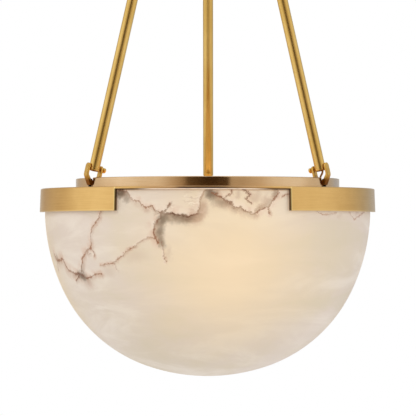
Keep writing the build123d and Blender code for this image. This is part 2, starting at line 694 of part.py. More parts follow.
def collar_ring():
    """Rolled ring on the flange, with a foot inside and a notch behind each yoke."""
    ring = disc(COLLAR_RADIUS, Z_RING, Z_RING + COLLAR_HEIGHT)
    ring = fillet(ring.edges().group_by(Axis.Z)[-1], COLLAR_EDGE)
    ring -= disc(COLLAR_RADIUS - COLLAR_WALL, Z_RING + COLLAR_FOOT, Z_RING + COLLAR_HEIGHT)
    ring -= disc(COLLAR_FOOT_BORE, Z_RING, Z_RING + COLLAR_FOOT)
    notch = Box(YOKE_WIDTH, YOKE_BREADTH + 2 * NOTCH_PLAY, 4 * COLLAR_HEIGHT)
    for angle in STATIONS.values():
        ring -= lower_seat(angle, notch)
    ring -= lower_seat(STATIONS["right"], cord_hole(GROMMET_RADIUS, 0, COLLAR_FOOT))
    for angle in collar_screw_angles():
        hole = disc(SMALL_SCREW_RADIUS + HOLE_PLAY, Z_RING, Z_RING + COLLAR_FOOT)
        ring -= at_angle(angle, Pos(COLLAR_SCREW_CIRCLE, 0, 0) * hole)
    return ring


def small_screw(seat):
    """Slotted pan-head screw down into the flange."""
    head = disc(SMALL_SCREW_HEAD, seat, seat + SMALL_SCREW_HEAD_THICKNESS)
    head = fillet(head.edges().group_by(Axis.Z)[-1], SMALL_SCREW_HEAD_THICKNESS * 0.4)
    slot = Box(2 * SMALL_SCREW_HEAD, DRIVER_SLOT, 2 * DRIVER_SLOT_DEPTH)
    head -= Pos(0, 0, seat + SMALL_SCREW_HEAD_THICKNESS) * slot
    return head + disc(SMALL_SCREW_RADIUS, Z_FLANGE_UNDER, seat)


# ---- Bowl ----
def arc_end(centre, radius, angle):
    """Point of an arc at an angle from straight down."""
    turn = math.radians(angle)
    return (centre[0] + radius * math.sin(turn), centre[1] - radius * math.cos(turn))


def outer_arcs():
    """Radii of the bottom and side arcs that bring the outline to the bowl's radius and depth."""
    low = math.radians(BOWL_BOTTOM_ANGLE)
    high = math.radians(BOWL_SHOULDER_ANGLE)
    across = BOWL_RADIUS - BOWL_SHOULDER_ARC * (math.sin(high) - math.sin(low))
    curve_depth = Z_RIM - BOWL_BAND - (Z_RING - BOWL_DEPTH)
    down = curve_depth - BOWL_SHOULDER_ARC * (math.cos(low) - math.cos(high))
    scale = math.sin(low) * math.cos(high) - (1 - math.sin(high)) * (1 - math.cos(low))
    bottom = (across * math.cos(high) - down * (1 - math.sin(high))) / scale
    side = (down * math.sin(low) - across * (1 - math.cos(low))) / scale
    return bottom, side


def bowl_solid(inset, rim):
    """Solid of revolution inside the bowl's outline, drawn in by inset."""
    bottom_arc, side_arc = outer_arcs()
    foot = (0.0, Z_RING - BOWL_DEPTH + bottom_arc)
    first = arc_end(foot, bottom_arc, BOWL_BOTTOM_ANGLE)
    shoulder = arc_end(first, -BOWL_SHOULDER_ARC, BOWL_BOTTOM_ANGLE)
    second = arc_end(shoulder, BOWL_SHOULDER_ARC, BOWL_SHOULDER_ANGLE)
    side = arc_end(second, -side_arc, BOWL_SHOULDER_ANGLE)
    centres = (foot, shoulder, side)
    arcs = (bottom_arc - inset, BOWL_SHOULDER_ARC - inset, side_arc - inset)
    angles = (0.0, BOWL_BOTTOM_ANGLE, BOWL_SHOULDER_ANGLE, 90.0)
    edges = []
    for index, (centre, radius) in enumerate(zip(centres, arcs)):
        ends = (angles[index], angles[index + 1])
        points = [arc_end(centre, radius, a) for a in (ends[0], sum(ends) / 2, ends[1])]
        edges.append(ThreePointArc(*points))
    top = edges[-1] @ 1
    edges.append(Line(top, (top.X, rim)))
    edges.append(Line((top.X, rim), (0, rim)))
    edges.append(Line((0, rim), edges[0] @ 0))
    return revolve(Plane.XZ * make_face(edges), Axis.Z)


def alabaster_bowl():
    """Bowl turned from one block, with a soft rim and six screw holes under the skirts."""
    bowl = bowl_solid(0.0, Z_RIM)
    bowl = fillet(bowl.edges().group_by(Axis.Z)[-1], BOWL_RIM_ROUND)
    bowl -= bowl_solid(BOWL_WALL, Z_RIM)
    inner = BOWL_RADIUS - BOWL_WALL
    for angle in bowl_screw_angles():
        bowl -= at_angle(angle, radial_rod(SCREW_HOLE, inner - BOWL_WALL, BOWL_RADIUS + BOWL_WALL))
        spot = radial_rod(BOWL_WASHER_RADIUS + LOOSE, inner - BOWL_WALL, inner + BOWL_SPOT_DEPTH)
        bowl -= at_angle(angle, spot)
    return bowl


def bowl_gasket():
    """Flat rubber ring between the bowl's rim and the flange."""
    outer = BOWL_RADIUS - GASKET_INSET
    return tube(outer, outer - GASKET_WIDTH, Z_RIM, Z_FLANGE_UNDER)


def skirt_pad(angle):
    """Thin rubber pad between the bowl and one skirt."""
    span = SKIRT_SPAN_ANGLE - PAD_MARGIN_ANGLE
    section = Rectangle(PAD_THICKNESS - RUNNING, PAD_HEIGHT, align=(Align.MIN, Align.CENTER))
    section = Pos(BOWL_RADIUS + RUNNING, Z_BOWL_SCREW) * section
    pad = at_angle(angle - span / 2, revolve(Plane.XZ * section, Axis.Z, span))
    for side in (-1, 1):
        hole = radial_rod(SCREW_HOLE, BOWL_RADIUS - BOWL_WALL, SKIRT_RADIUS_IN + SKIRT_WALL)
        pad -= at_angle(angle + side * BOWL_SCREW_ANGLE, hole)
    return pad


def bowl_washer():
    """Rubber washer in the bowl's spot face."""
    seat = BOWL_RADIUS - BOWL_WALL + BOWL_SPOT_DEPTH
    washer = radial_rod(BOWL_WASHER_RADIUS, seat - BOWL_WASHER_THICKNESS, seat)
    return washer - radial_rod(BOWL_SCREW_RADIUS, seat - BOWL_WASHER_THICKNESS, seat)


def bowl_screw():
    """Screw from inside the bowl into a skirt."""
    seat = BOWL_RADIUS - BOWL_WALL + BOWL_SPOT_DEPTH - BOWL_WASHER_THICKNESS
    shank = radial_rod(BOWL_SCREW_RADIUS, seat, SKIRT_RADIUS_IN + BOWL_SCREW_BITE)
    head = radial_rod(BOWL_SCREW_HEAD, seat - BOWL_SCREW_HEAD_THICKNESS, seat)
    slot = Box(2 * DRIVER_SLOT_DEPTH, 2 * BOWL_SCREW_HEAD, DRIVER_SLOT)
    head -= Pos(seat - BOWL_SCREW_HEAD_THICKNESS, 0, Z_BOWL_SCREW) * slot
    return shank + head


# ---- Lamps ----
def lamp_bridge():
    """Pressed spider with three arms on the collar's foot and vents round its middle."""
    outline = Circle(BRIDGE_DISC)
    reach = COLLAR_RADIUS - COLLAR_WALL - BRIDGE_END_PLAY
    for angle in LAMP_ANGLES.values():
        arm = Pos(reach / 2, 0) * Rectangle(reach, BRIDGE_ARM)
        arm -= Pos(COLLAR_SCREW_CIRCLE, 0) * Circle(SMALL_SCREW_RADIUS + HOLE_PLAY)
        outline += Rot(0, 0, angle) * arm
    for angle in LAMP_ANGLES.values():
        for step in (-1, 0, 1):
            vent = Pos(BRIDGE_DISC - BRIDGE_VENT_INSET, 0) * Circle(BRIDGE_VENT)
            outline -= Rot(0, 0, angle + THIRD_ANGLE / 2 + step * BRIDGE_VENT_ANGLE) * vent
    outline -= Circle(CLUSTER_BOLT_RADIUS + HOLE_PLAY)
    return Pos(0, 0, Z_BRIDGE) * extrude(outline, BRIDGE_THICKNESS)


def lamp_direction(angle, shape):
    """Point an upright shape outwards and down along a lamp's axis."""
    return Pos(0, 0, Z_LAMP_AXES) * Rot(0, 0, angle) * Rot(0, 90 + LAMP_TILT_ANGLE, 0) * shape


def lamp_cluster():
    """Cast body under the bridge with three inclined arms and a bolt hole."""
    body = disc(CLUSTER_RADIUS, Z_BRIDGE - CLUSTER_HEIGHT, Z_BRIDGE)
    body = fillet(body.edges().group_by(Axis.Z)[0], CLUSTER_EDGE)
    for angle in LAMP_ANGLES.values():
        body += lamp_direction(angle, disc(CLUSTER_ARM_RADIUS, 0, CLUSTER_ARM_REACH))
    return body - disc(CLUSTER_BOLT_RADIUS, Z_BRIDGE - CLUSTER_HEIGHT / 2, Z_BRIDGE)


def cluster_bolt():
    """Bolt that holds the cluster under the bridge."""
    top = Z_BRIDGE + BRIDGE_THICKNESS
    head = Pos(0, 0, top) * hexagon(CLUSTER_BOLT_FLATS, CLUSTER_BOLT_HEAD)
    return head + disc(CLUSTER_BOLT_RADIUS, Z_BRIDGE - CLUSTER_HEIGHT / 2, top)


def lampholder(angle):
    """Ceramic lampholder with a lipped mouth and a socket for the bulb's cap."""
    start = CLUSTER_ARM_REACH
    end = start + HOLDER_LENGTH
    shell = disc(HOLDER_RADIUS - HOLDER_LIP, start, end)
    shell = fillet(shell.edges().group_by(Axis.Z)[0], HOLDER_EDGE)
    shell += disc(HOLDER_RADIUS, end - HOLDER_LIP * 2, end)
    shell -= disc(LAMP_CAP_RADIUS, end - LAMP_CAP_LENGTH, end)
    return lamp_direction(angle, shell)


def bulb_cap(angle):
    """Screw cap of the bulb, fully home in its holder."""
    mouth = CLUSTER_ARM_REACH + HOLDER_LENGTH
    cap = disc(LAMP_CAP_RADIUS, mouth - LAMP_CAP_LENGTH, mouth)
    return lamp_direction(angle, fillet(cap.edges().group_by(Axis.Z)[0], LAMP_CAP_EDGE))


def bulb(angle):
    """Frosted envelope: a neck that swells into a round end."""
    mouth = CLUSTER_ARM_REACH + HOLDER_LENGTH
    crown = mouth + BULB_LENGTH - BULB_RADIUS
    neck_end = mouth + BULB_NECK_LENGTH
    outline = make_face([
        Line((0, mouth), (BULB_NECK, mouth)),
        Line((BULB_NECK, mouth), (BULB_NECK, neck_end)),
        Spline((BULB_NECK, neck_end), (BULB_RADIUS, crown), tangents=((0, 1), (0, 1))),
        RadiusArc((BULB_RADIUS, crown), (0, crown + BULB_RADIUS), -BULB_RADIUS),
        Line((0, crown + BULB_RADIUS), (0, mouth)),
    ])
    return lamp_direction(angle, revolve(Plane.XZ * outline, Axis.Z))


# ---- Write every sub-part ----
save("ceiling_crossbar", crossbar())
save("canopy", canopy())
save("canopy_screws", group([Pos(s * CANOPY_SCREW_SPACING / 2, 0, 0) * canopy_screw() for s in (-1, 1)]))
save("canopy_cap_nuts", group([Pos(s * CANOPY_SCREW_SPACING / 2, 0, 0) * cap_nut() for s in (-1, 1)]))
save("ceiling_nipple", nipple())
save("nipple_locknuts", group([locknut(Z_BAR), locknut(Z_CANOPY + CANOPY_WALL + LOCKNUT_THICKNESS)]))
save("swivel_neck", swivel_neck())
save("swivel_fork", swivel_fork())
save("knuckle_pin", knuckle_pin())
save("stem_tongue", stem_tongue())
save("stem", stem())
save("stem_cord", stem_cord())
save("hub_plate", hub_plate())
save("hub_cover", hub_cover())
save("hub_terminal", hub_terminal())

RING_GRIP = FLANGE_THICKNESS + YOKE_GAP
for station, bearing in STATIONS.items():
    save(f"upper_yoke_{station}", upper_seat(bearing, yoke()))
    save(f"rod_{station}", rod(bearing))
    save(f"lower_yoke_{station}", lower_seat(bearing, yoke()))
    save(f"lower_pin_{station}", lower_seat(bearing, yoke_pin()))
    save(f"lower_stud_{station}", lower_seat(bearing, yoke_stud(RING_GRIP)))
    fixings = [lower_seat(bearing, piece(RING_GRIP)) for piece in (stud_washer, stud_nut)]
    save(f"lower_nut_{station}", group(fixings))
save("upper_pins", group([upper_seat(bearing, yoke_pin()) for bearing in STATIONS.values()]))
save("upper_studs", group([upper_seat(bearing, yoke_stud(HUB_PLATE)) for bearing in STATIONS.values()]))
upper_nuts = [upper_seat(bearing, piece(HUB_PLATE)) for bearing in STATIONS.values()
              for piece in (stud_washer, stud_nut)]
save("upper_nuts", group(upper_nuts))
save("supply_cord", supply_cord())
save("ring_lead", ring_lead())
save("cord_grommet", cord_grommet())

save("cap_ring", cap_ring())
save("collar_ring", collar_ring())
save("bowl_gasket", bowl_gasket())
save("alabaster_bowl", alabaster_bowl())
save("skirt_pads", group([skirt_pad(angle) for angle in SKIRT_ANGLES]))
save("bowl_screws", group([at_angle(angle, bowl_screw()) for angle in bowl_screw_angles()]))
save("bowl_washers", group([at_angle(angle, bowl_washer()) for angle in bowl_screw_angles()]))

save("lamp_bridge", lamp_bridge())
bridge_seats = {angle: Z_BRIDGE + BRIDGE_THICKNESS for angle in LAMP_ANGLES.values()}
screw_seats = [(angle, bridge_seats.get(angle, Z_BRIDGE)) for angle in collar_screw_angles()]
on_circle = Pos(COLLAR_SCREW_CIRCLE, 0, 0)
screws = [at_angle(angle, on_circle * small_screw(seat)) for angle, seat in screw_seats]
save("collar_screws", group(screws))
save("lamp_cluster", lamp_cluster())
save("cluster_bolt", cluster_bolt())
for place, bearing in LAMP_ANGLES.items():
    save(f"lampholder_{place}", lampholder(bearing))
    save(f"bulb_{place}", bulb(bearing))
save("bulb_caps", group([bulb_cap(bearing) for bearing in LAMP_ANGLES.values()]))
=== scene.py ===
import math

import bpy
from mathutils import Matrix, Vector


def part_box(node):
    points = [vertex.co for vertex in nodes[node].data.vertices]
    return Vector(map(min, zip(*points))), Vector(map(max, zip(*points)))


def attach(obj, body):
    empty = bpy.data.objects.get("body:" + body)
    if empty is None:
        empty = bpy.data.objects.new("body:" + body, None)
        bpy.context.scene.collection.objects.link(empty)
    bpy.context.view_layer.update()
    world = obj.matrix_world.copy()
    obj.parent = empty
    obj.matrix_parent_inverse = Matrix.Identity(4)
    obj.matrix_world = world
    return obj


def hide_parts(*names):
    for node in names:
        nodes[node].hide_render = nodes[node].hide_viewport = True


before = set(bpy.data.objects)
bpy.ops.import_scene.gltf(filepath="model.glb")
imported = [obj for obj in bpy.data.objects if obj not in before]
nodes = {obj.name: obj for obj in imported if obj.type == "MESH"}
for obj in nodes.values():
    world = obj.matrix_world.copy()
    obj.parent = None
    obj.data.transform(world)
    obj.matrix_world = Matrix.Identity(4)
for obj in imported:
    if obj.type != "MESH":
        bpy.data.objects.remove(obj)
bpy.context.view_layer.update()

# ---- Camera ----
# The photograph was taken level with the middle of the bowl, from about 3.3 m away with a long
# lens, and cropped so that the eye level lies below the middle of the picture.
EYE_HEIGHT = -0.7362
CAMERA_DISTANCE = 3.336
CAMERA_TURN = math.radians(0.3)
bpy.ops.object.select_all(action="DESELECT")
bpy.ops.object.camera_add(
    location=(
        CAMERA_DISTANCE * math.sin(CAMERA_TURN),
        -CAMERA_DISTANCE * math.cos(CAMERA_TURN),
        EYE_HEIGHT,
    ),
    rotation=(math.radians(90), 0, CAMERA_TURN),
)
camera = bpy.context.object
camera.name = "photo_camera"
camera.data.sensor_width = 36
camera.data.lens = 238
camera.data.shift_x = 0.0010
camera.data.shift_y = 0.0798
camera.data.clip_end = 60
bpy.context.scene.camera = camera
bpy.context.scene.view_settings.view_transform = "Standard"


# ---- White studio: world, floor and the cards that the brass mirrors ----
# The lamp hangs in a white room. A dark gap between the cards behind the camera puts the narrow
# dark streak on the rods and on the collar, and grey cards shade the brass towards its sides.

# The floor lies far down, so that views from below the lamp aren't shut off by it. The studio's
# sizes and heights are in metres.
FLOOR_HEIGHT = -3.6
FLOOR_RADIUS = 7.0
FLOOR_FADE = (4.0, 6.6)
CARD_RADIUS = 6.0
CARD_HEIGHT = 12.0
CARD_MIDDLE = 3.0
LAMP_SIZE = 2.4
AIM_HEIGHT = -0.75


def add(tree, kind, settings=None, **inputs):
    """A node in the tree. An input is a value or another node's output; in0, in1 go by number."""
    made = tree.nodes.new(kind)
    for key, value in (settings or {}).items():
        setattr(made, key, value)
    for key, value in inputs.items():
        number = key[2:]
        socket = made.inputs[int(number) if number.isdigit() else key.replace("_", " ")]
        if isinstance(value, bpy.types.NodeSocket):
            tree.links.new(value, socket)
        else:
            socket.default_value = value
    return made


def maths(tree, operation, *values, clamp=False):
    """One Math node's result."""
    settings = {"operation": operation, "use_clamp": clamp}
    inputs = {f"in{i}": value for i, value in enumerate(values)}
    return add(tree, "ShaderNodeMath", settings, **inputs).outputs[0]


def vector_maths(tree, operation, *values):
    """One Vector Math node's result: a number for a length, distance or dot product."""
    inputs = {f"in{i}": value for i, value in enumerate(values)}
    made = add(tree, "ShaderNodeVectorMath", {"operation": operation}, **inputs)
    measures = ("LENGTH", "DISTANCE", "DOT_PRODUCT")
    return made.outputs["Value" if operation in measures else "Vector"]


def split(tree, vector):
    """A vector's X, Y and Z."""
    return add(tree, "ShaderNodeSeparateXYZ", Vector=vector).outputs


def noise(tree, spot, scale, detail, roughness=0.5, distortion=0.0, output="Fac"):
    """A noise texture's value."""
    made = add(tree, "ShaderNodeTexNoise", Vector=spot, Scale=scale, Detail=detail,
               Roughness=roughness, Distortion=distortion)
    return made.outputs[output]


def smooth(tree, value, low, high, start=0.0, end=1.0):
    """A value eased from start to end as it goes from low to high."""
    eased = add(tree, "ShaderNodeMapRange", {"interpolation_type": "SMOOTHSTEP"}, Value=value)
    for name, number in zip(("From Min", "From Max", "To Min", "To Max"), (low, high, start, end)):
        eased.inputs[name].default_value = number
    return eased.outputs["Result"]


def mix(tree, factor, first, second):
    """Two colours mixed by a factor."""
    made = tree.nodes.new("ShaderNodeMix")
    made.data_type = "RGBA"
    for index, value in ((0, factor), (6, first), (7, second)):
        if isinstance(value, bpy.types.NodeSocket):
            tree.links.new(value, made.inputs[index])
        else:
            made.inputs[index].default_value = value
    return made.outputs[2]


def ramp(tree, value, stops):
    """A colour ramp; stops are (place, colour)."""
    made = add(tree, "ShaderNodeValToRGB", Fac=value)
    elements = made.color_ramp.elements
    while len(elements) < len(stops):
        elements.new(0.5)
    for element, (position, tone) in zip(elements, stops):
        element.position = position
        element.color = tone
    return made.outputs["Color"]


def colour(red, green, blue):
    """A colour given as it looks on screen, 0 to 255, for a shader."""
    linear = []
    for part in (red, green, blue):
        part = part / 255
        linear.append(part / 12.92 if part <= 0.04045 else ((part + 0.055) / 1.055) ** 2.4)
    return (*linear, 1.0)


def place(tree):
    """The object coordinate of the point being shaded."""
    return tree.nodes.new("ShaderNodeTexCoord").outputs["Object"]


def feed(tree, shader, **inputs):
    """Outputs linked into a shader's sockets."""
    for key, value in inputs.items():
        tree.links.new(value, shader.inputs[key.replace("_", " ")])


def seen_plainly(tree):
    """1 for rays from the camera, a mirror-like surface or glass, 0 for soft light."""
    path = tree.nodes.new("ShaderNodeLightPath")
    seen = maths(tree, "MAXIMUM", path.outputs["Is Camera Ray"], path.outputs["Is Glossy Ray"])
    return maths(tree, "MAXIMUM", seen, path.outputs["Is Transmission Ray"])


world = bpy.data.worlds.new("white_studio")
bpy.context.scene.world = world
world.use_nodes = True
tree = world.node_tree
room_light = mix(tree, seen_plainly(tree), (0.70, 0.70, 0.71, 1), (1, 1, 1, 1))
feed(tree, tree.nodes["Background"], Color=room_light)

bpy.ops.object.select_all(action="DESELECT")
bpy.ops.mesh.primitive_circle_add(vertices=96, radius=FLOOR_RADIUS, fill_type="NGON",
                                  location=(0, 0, FLOOR_HEIGHT))
bpy.ops.object.transform_apply(location=True)
floor = bpy.context.object
floor.name = "studio_floor"
floor_paint = bpy.data.materials.new("pale_floor")
floor_paint.use_nodes = True
tree = floor_paint.node_tree
finish = tree.nodes["Principled BSDF"]
spot = place(tree)
scuffs = noise(tree, spot, 3.0, 4.0)
pale = mix(tree, scuffs, colour(246, 246, 245), colour(250, 250, 249))
distance = vector_maths(tree, "LENGTH", spot)
feed(tree, finish, Base_Color=pale)
finish.inputs["Roughness"].default_value = 0.7
white = add(tree, "ShaderNodeEmission", Color=(1, 1, 1, 1))
edge = smooth(tree, distance, *FLOOR_FADE)
blend = add(tree, "ShaderNodeMixShader", in0=maths(tree, "MULTIPLY", edge, seen_plainly(tree)),
            in1=finish.outputs["BSDF"], in2=white.outputs["Emission"])
feed(tree, tree.nodes["Material Output"], Surface=blend.outputs["Shader"])
floor.data.materials.append(floor_paint)

bpy.ops.object.select_all(action="DESELECT")
bpy.ops.mesh.primitive_cylinder_add(vertices=128, radius=CARD_RADIUS, depth=CARD_HEIGHT,
                                    end_fill_type="NOTHING", location=(0, 0, CARD_MIDDLE))
bpy.ops.object.transform_apply(location=True)
cards = bpy.context.object
cards.name = "studio_cards"
card_paint = bpy.data.materials.new("card_shades")
card_paint.use_nodes = True
tree = card_paint.node_tree
tree.nodes.remove(tree.nodes["Principled BSDF"])
across = split(tree, place(tree))
behind = maths(tree, "MULTIPLY", across["Y"], -1.0)
bearing = maths(tree, "ARCTAN2", across["X"], behind)
turn = maths(tree, "MULTIPLY_ADD", bearing, 0.5 / math.pi, 0.5)
# Each shade is a bearing round from behind the camera, a level and how warm the card is.
SHADES = [
    (-180, 0.7, 0), (-151, 0.5, 0.8), (-135, 0.56, 1), (-117, 0.68, 1), (-108, 0.78, 1),
    (-99, 0.92, 1), (-80, 1.0, 1), (-60, 0.84, 1.6), (-42, 0.82, 1.8), (-28, 0.56, 1.6),
    (-20, 0.36, 1.4), (-16.5, 0.1, 1), (-10, 0.08, 1), (0, 0.04, 1), (10, 0.055, 1),
    (18.5, 0.08, 1), (19.6, 0.5, 1.4), (30, 0.5, 1.4), (46, 0.64, 1.8), (60, 0.82, 1.2),
    (88, 0.86, 0.8), (99, 0.72, 0.9), (110, 0.7, 0.6), (124, 0.56, 0), (149, 0.44, -0.6),
    (165, 0.5, 0), (180, 0.7, 0),
]
card_stops = []
for angle, level, warm in SHADES:
    tint = (level, level ** (1 + 0.2 * warm), level ** (1 + 0.5 * warm), 1)
    card_stops.append((0.5 + angle / 360, tint))
glow = add(tree, "ShaderNodeEmission", Color=ramp(tree, turn, card_stops))
feed(tree, tree.nodes["Material Output"], Surface=glow.outputs["Emission"])
cards.data.materials.append(card_paint)
cards.visible_camera = False
cards.visible_diffuse = False
cards.visible_shadow = False
cards.visible_transmission = False

# Each lamp is turned towards the pendant's axis.
for name, spot, power in (("key_lamp", (-2.6, -3.2, 1.4), 52),
                          ("fill_lamp", (3.0, -2.4, 0.2), 30),
                          ("back_lamp", (0.4, 3.2, 1.2), 24)):
    bpy.ops.object.light_add(type="AREA", location=spot)
    lamp = bpy.context.object
    lamp.name = name
    lamp.data.size = LAMP_SIZE
    lamp.data.energy = power
    lamp.data.specular_factor = 0.0
    aside = math.hypot(spot[0], spot[1])
    tilt = math.atan2(aside, spot[2] - AIM_HEIGHT)
    lamp.rotation_euler = (tilt, 0, math.atan2(spot[1], spot[0]) + math.pi / 2)
    lamp.visible_glossy = False
    lamp.visible_camera = False


# ---- Brass turned on a lathe: cap ring, canopy, neck, hub and cover ----
# Solid and spun brass with a satin finish; the polishing lines run round the axis, so the
# surface mirrors sharply sideways and softly up and down.
def new_group(name, inputs, outputs):
    """An empty node group; inputs and outputs are (name, socket type, value)."""
    group = bpy.data.node_groups.new(name, "ShaderNodeTree")
    for label, kind, value in inputs:
        socket = group.interface.new_socket(label, in_out="INPUT", socket_type=kind)
        if value is not None:
            socket.default_value = value
    for label, kind in outputs:
        group.interface.new_socket(label, in_out="OUTPUT", socket_type=kind)
    entry = group.nodes.new("NodeGroupInput")
    leave = group.nodes.new("NodeGroupOutput")
    return group, entry.outputs, leave.inputs


FLOAT, VECTOR, COLOUR = "NodeSocketFloat", "NodeSocketVector", "NodeSocketColor"

# Lines to the metre across the turning, and to the radian along it.
LATHE_LINES = 2500.0
LATHE_STREAKS = 4.0
turned, given, result = new_group(
    "turned_lines",
    [("Position", VECTOR, None), ("Lines", FLOAT, LATHE_LINES)],
    [("Grain", FLOAT), ("Cloud", FLOAT)],
)
parts = split(turned, given["Position"])
flat = add(turned, "ShaderNodeCombineXYZ", X=parts["X"], Y=parts["Y"]).outputs["Vector"]
round_angle = maths(turned, "ARCTAN2", parts["Y"], parts["X"])
lines = add(
    turned, "ShaderNodeCombineXYZ",
    X=maths(turned, "MULTIPLY", vector_maths(turned, "LENGTH", flat), given["Lines"]),
    Y=maths(turned, "MULTIPLY", round_angle, LATHE_STREAKS),
    Z=maths(turned, "MULTIPLY", parts["Z"], given["Lines"]),
)
turned.links.new(noise(turned, lines.outputs["Vector"], 1.0, 3.0, 0.6), result["Grain"])
turned.links.new(noise(turned, given["Position"], 14.0, 4.0, 0.55), result["Cloud"])


brass_look, given, result = new_group(
    "brass_look",
    [("Grain", FLOAT, 0.5), ("Cloud", FLOAT, 0.5), ("Light tone", COLOUR, None),
     ("Deep tone", COLOUR, None), ("Roughness", FLOAT, 0.3), ("Depth", FLOAT, 0.1)],
    [("Color", COLOUR), ("Roughness", FLOAT), ("Normal", VECTOR)],
)
worn = smooth(brass_look, given["Cloud"], 0.3, 0.7)
streaked = smooth(brass_look, given["Grain"], 0.3, 0.7, 0.0, 0.45)
amount = maths(brass_look, "MULTIPLY_ADD", worn, 0.55, streaked, clamp=True)
tone = mix(brass_look, amount, given["Light tone"], given["Deep tone"])
brass_look.links.new(tone, result["Color"])
rougher = maths(brass_look, "MULTIPLY_ADD", given["Grain"], 0.12, given["Roughness"])
rougher = maths(brass_look, "SUBTRACT", rougher, 0.08)
rougher = maths(brass_look, "MULTIPLY_ADD", worn, 0.05, rougher)
brass_look.links.new(rougher, result["Roughness"])
LINE_DEPTH = 0.0002
lift = add(brass_look, "ShaderNodeBump", Strength=given["Depth"], Distance=LINE_DEPTH,
           Height=given["Grain"])
brass_look.links.new(lift.outputs["Normal"], result["Normal"])


def group_node(tree, group, **inputs):
    """One use of a node group in a tree."""
    made = tree.nodes.new("ShaderNodeGroup")
    made.node_tree = group
    for key, value in inputs.items():
        socket = made.inputs[key.replace("_", " ")]
        if isinstance(value, bpy.types.NodeSocket):
            tree.links.new(value, socket)
        else:
            socket.default_value = value
    return made.outputs


def new_material(name, roughness=0.5, metallic=0.0):
    """A material with its tree and its shader."""
    material = bpy.data.materials.new(name)
    material.use_nodes = True
    tree = material.node_tree
    shader = tree.nodes["Principled BSDF"]
    shader.inputs["Roughness"].default_value = roughness
    shader.inputs["Metallic"].default_value = metallic
    return material, tree, shader


def finish_brass(tree, shader, grain, cloud, light, deep, roughness, depth):
    """Brass whose colour, gloss and fine lines come from its grain."""
    look = group_node(tree, brass_look, Grain=grain, Cloud=cloud, Light_tone=light, Deep_tone=deep,
                      Roughness=roughness, Depth=depth)
    feed(tree, shader, Base_Color=look["Color"], Roughness=look["Roughness"], Normal=look["Normal"])


def lathe_gloss(tree, shader):
    """Highlights drawn out across the lathe's lines."""
    shader.inputs["Anisotropic"].default_value = 0.8
    shader.inputs["Anisotropic Rotation"].default_value = 0.25
    around = add(tree, "ShaderNodeTangent", {"direction_type": "RADIAL", "axis": "Z"})
    feed(tree, shader, Tangent=around.outputs["Tangent"])


def turned_brass(name, light, deep, roughness, depth):
    """Brass polished on the lathe about the lamp's own axis."""
    material, tree, shader = new_material(name, metallic=1.0)
    grain = group_node(tree, turned, Position=place(tree), Lines=LATHE_LINES)
    finish_brass(tree, shader, grain["Grain"], grain["Cloud"], light, deep, roughness, depth)
    lathe_gloss(tree, shader)
    return material


def paint(material, *names):
    """Give CAD nodes a material."""
    for name in names:
        for slot in nodes[name].material_slots:
            slot.material = material


# The skirts' gaps are 60 degrees wide, and their middles are turned a little from the front.
# Angles are from the nearest gap's middle, so a skirt's end is at 30 degrees.
GAP_TURN = math.radians(1.5)
SIXTH = math.radians(60)
SKIRT_END = math.radians(30)
GAP_MIDDLE = (math.radians(16), math.radians(25))
gaps, given, result = new_group(
    "skirt_gaps", [("Position", VECTOR, None)], [("Angle", FLOAT), ("Middle", FLOAT)],
)
parts = split(gaps, given["Position"])
angle = maths(gaps, "ARCTAN2", parts["X"], maths(gaps, "MULTIPLY", parts["Y"], -1.0))
angle = maths(gaps, "PINGPONG", maths(gaps, "ADD", angle, GAP_TURN), SIXTH)
gaps.links.new(angle, result["Angle"])
gaps.links.new(smooth(gaps, angle, *GAP_MIDDLE, 1.0, 0.0), result["Middle"])

# The ring's edges have painted light: a dark band in the middle of each gap is a painted
# reflection, a light line down a skirt's end and along its bottom (given in radians and metres) is
# a painted highlight, and the dark cut end is painted shade.
DARK_REFLECTION_BAND = (math.radians(6), math.radians(10))
END_HIGHLIGHT = ((SKIRT_END - 0.001, SKIRT_END + 0.001), (SKIRT_END + 0.005, SKIRT_END + 0.010))
SKIRT_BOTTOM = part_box("cap_ring")[0][2]
BOTTOM_HIGHLIGHT = (SKIRT_BOTTOM + 0.0008, SKIRT_BOTTOM + 0.0018)
CUT_END_SHADE = (0.10, 0.17)
ring_brass, tree, shader = new_material("turned_ring_brass", metallic=1.0)
spot = place(tree)
facing = tree.nodes.new("ShaderNodeTexCoord").outputs["Normal"]
upright = smooth(tree, maths(tree, "ABSOLUTE", split(tree, facing)["Z"]), 0.4, 0.8, 1.0, 0.0)
grain = group_node(tree, turned, Position=spot, Lines=LATHE_LINES)
gap = group_node(tree, gaps, Position=spot)
# Painted reflection: the brass in the middle of each gap gets darker tones than beside the skirts.
light = mix(tree, gap["Middle"], colour(242, 202, 132), colour(226, 186, 134))
deep = mix(tree, gap["Middle"], colour(220, 176, 106), colour(200, 158, 108))
# Painted reflection: a dark band on the upright faces in the middle of each gap.
band = maths(tree, "MULTIPLY", smooth(tree, gap["Angle"], *DARK_REFLECTION_BAND, 1.0, 0.0), upright)
light = mix(tree, band, light, colour(126, 88, 46))
deep = mix(tree, band, deep, colour(96, 64, 30))
look = group_node(tree, brass_look, Grain=grain["Grain"], Cloud=grain["Cloud"], Light_tone=light,
                  Deep_tone=deep, Roughness=0.30, Depth=0.08)
# Painted shade: the skirts' cut ends are darkened almost to black; they are also made rougher.
sideways = vector_maths(tree, "CROSS_PRODUCT", facing, spot)
cut_end_shade = smooth(tree, maths(tree, "ABSOLUTE", split(tree, sideways)["Z"]), *CUT_END_SHADE)
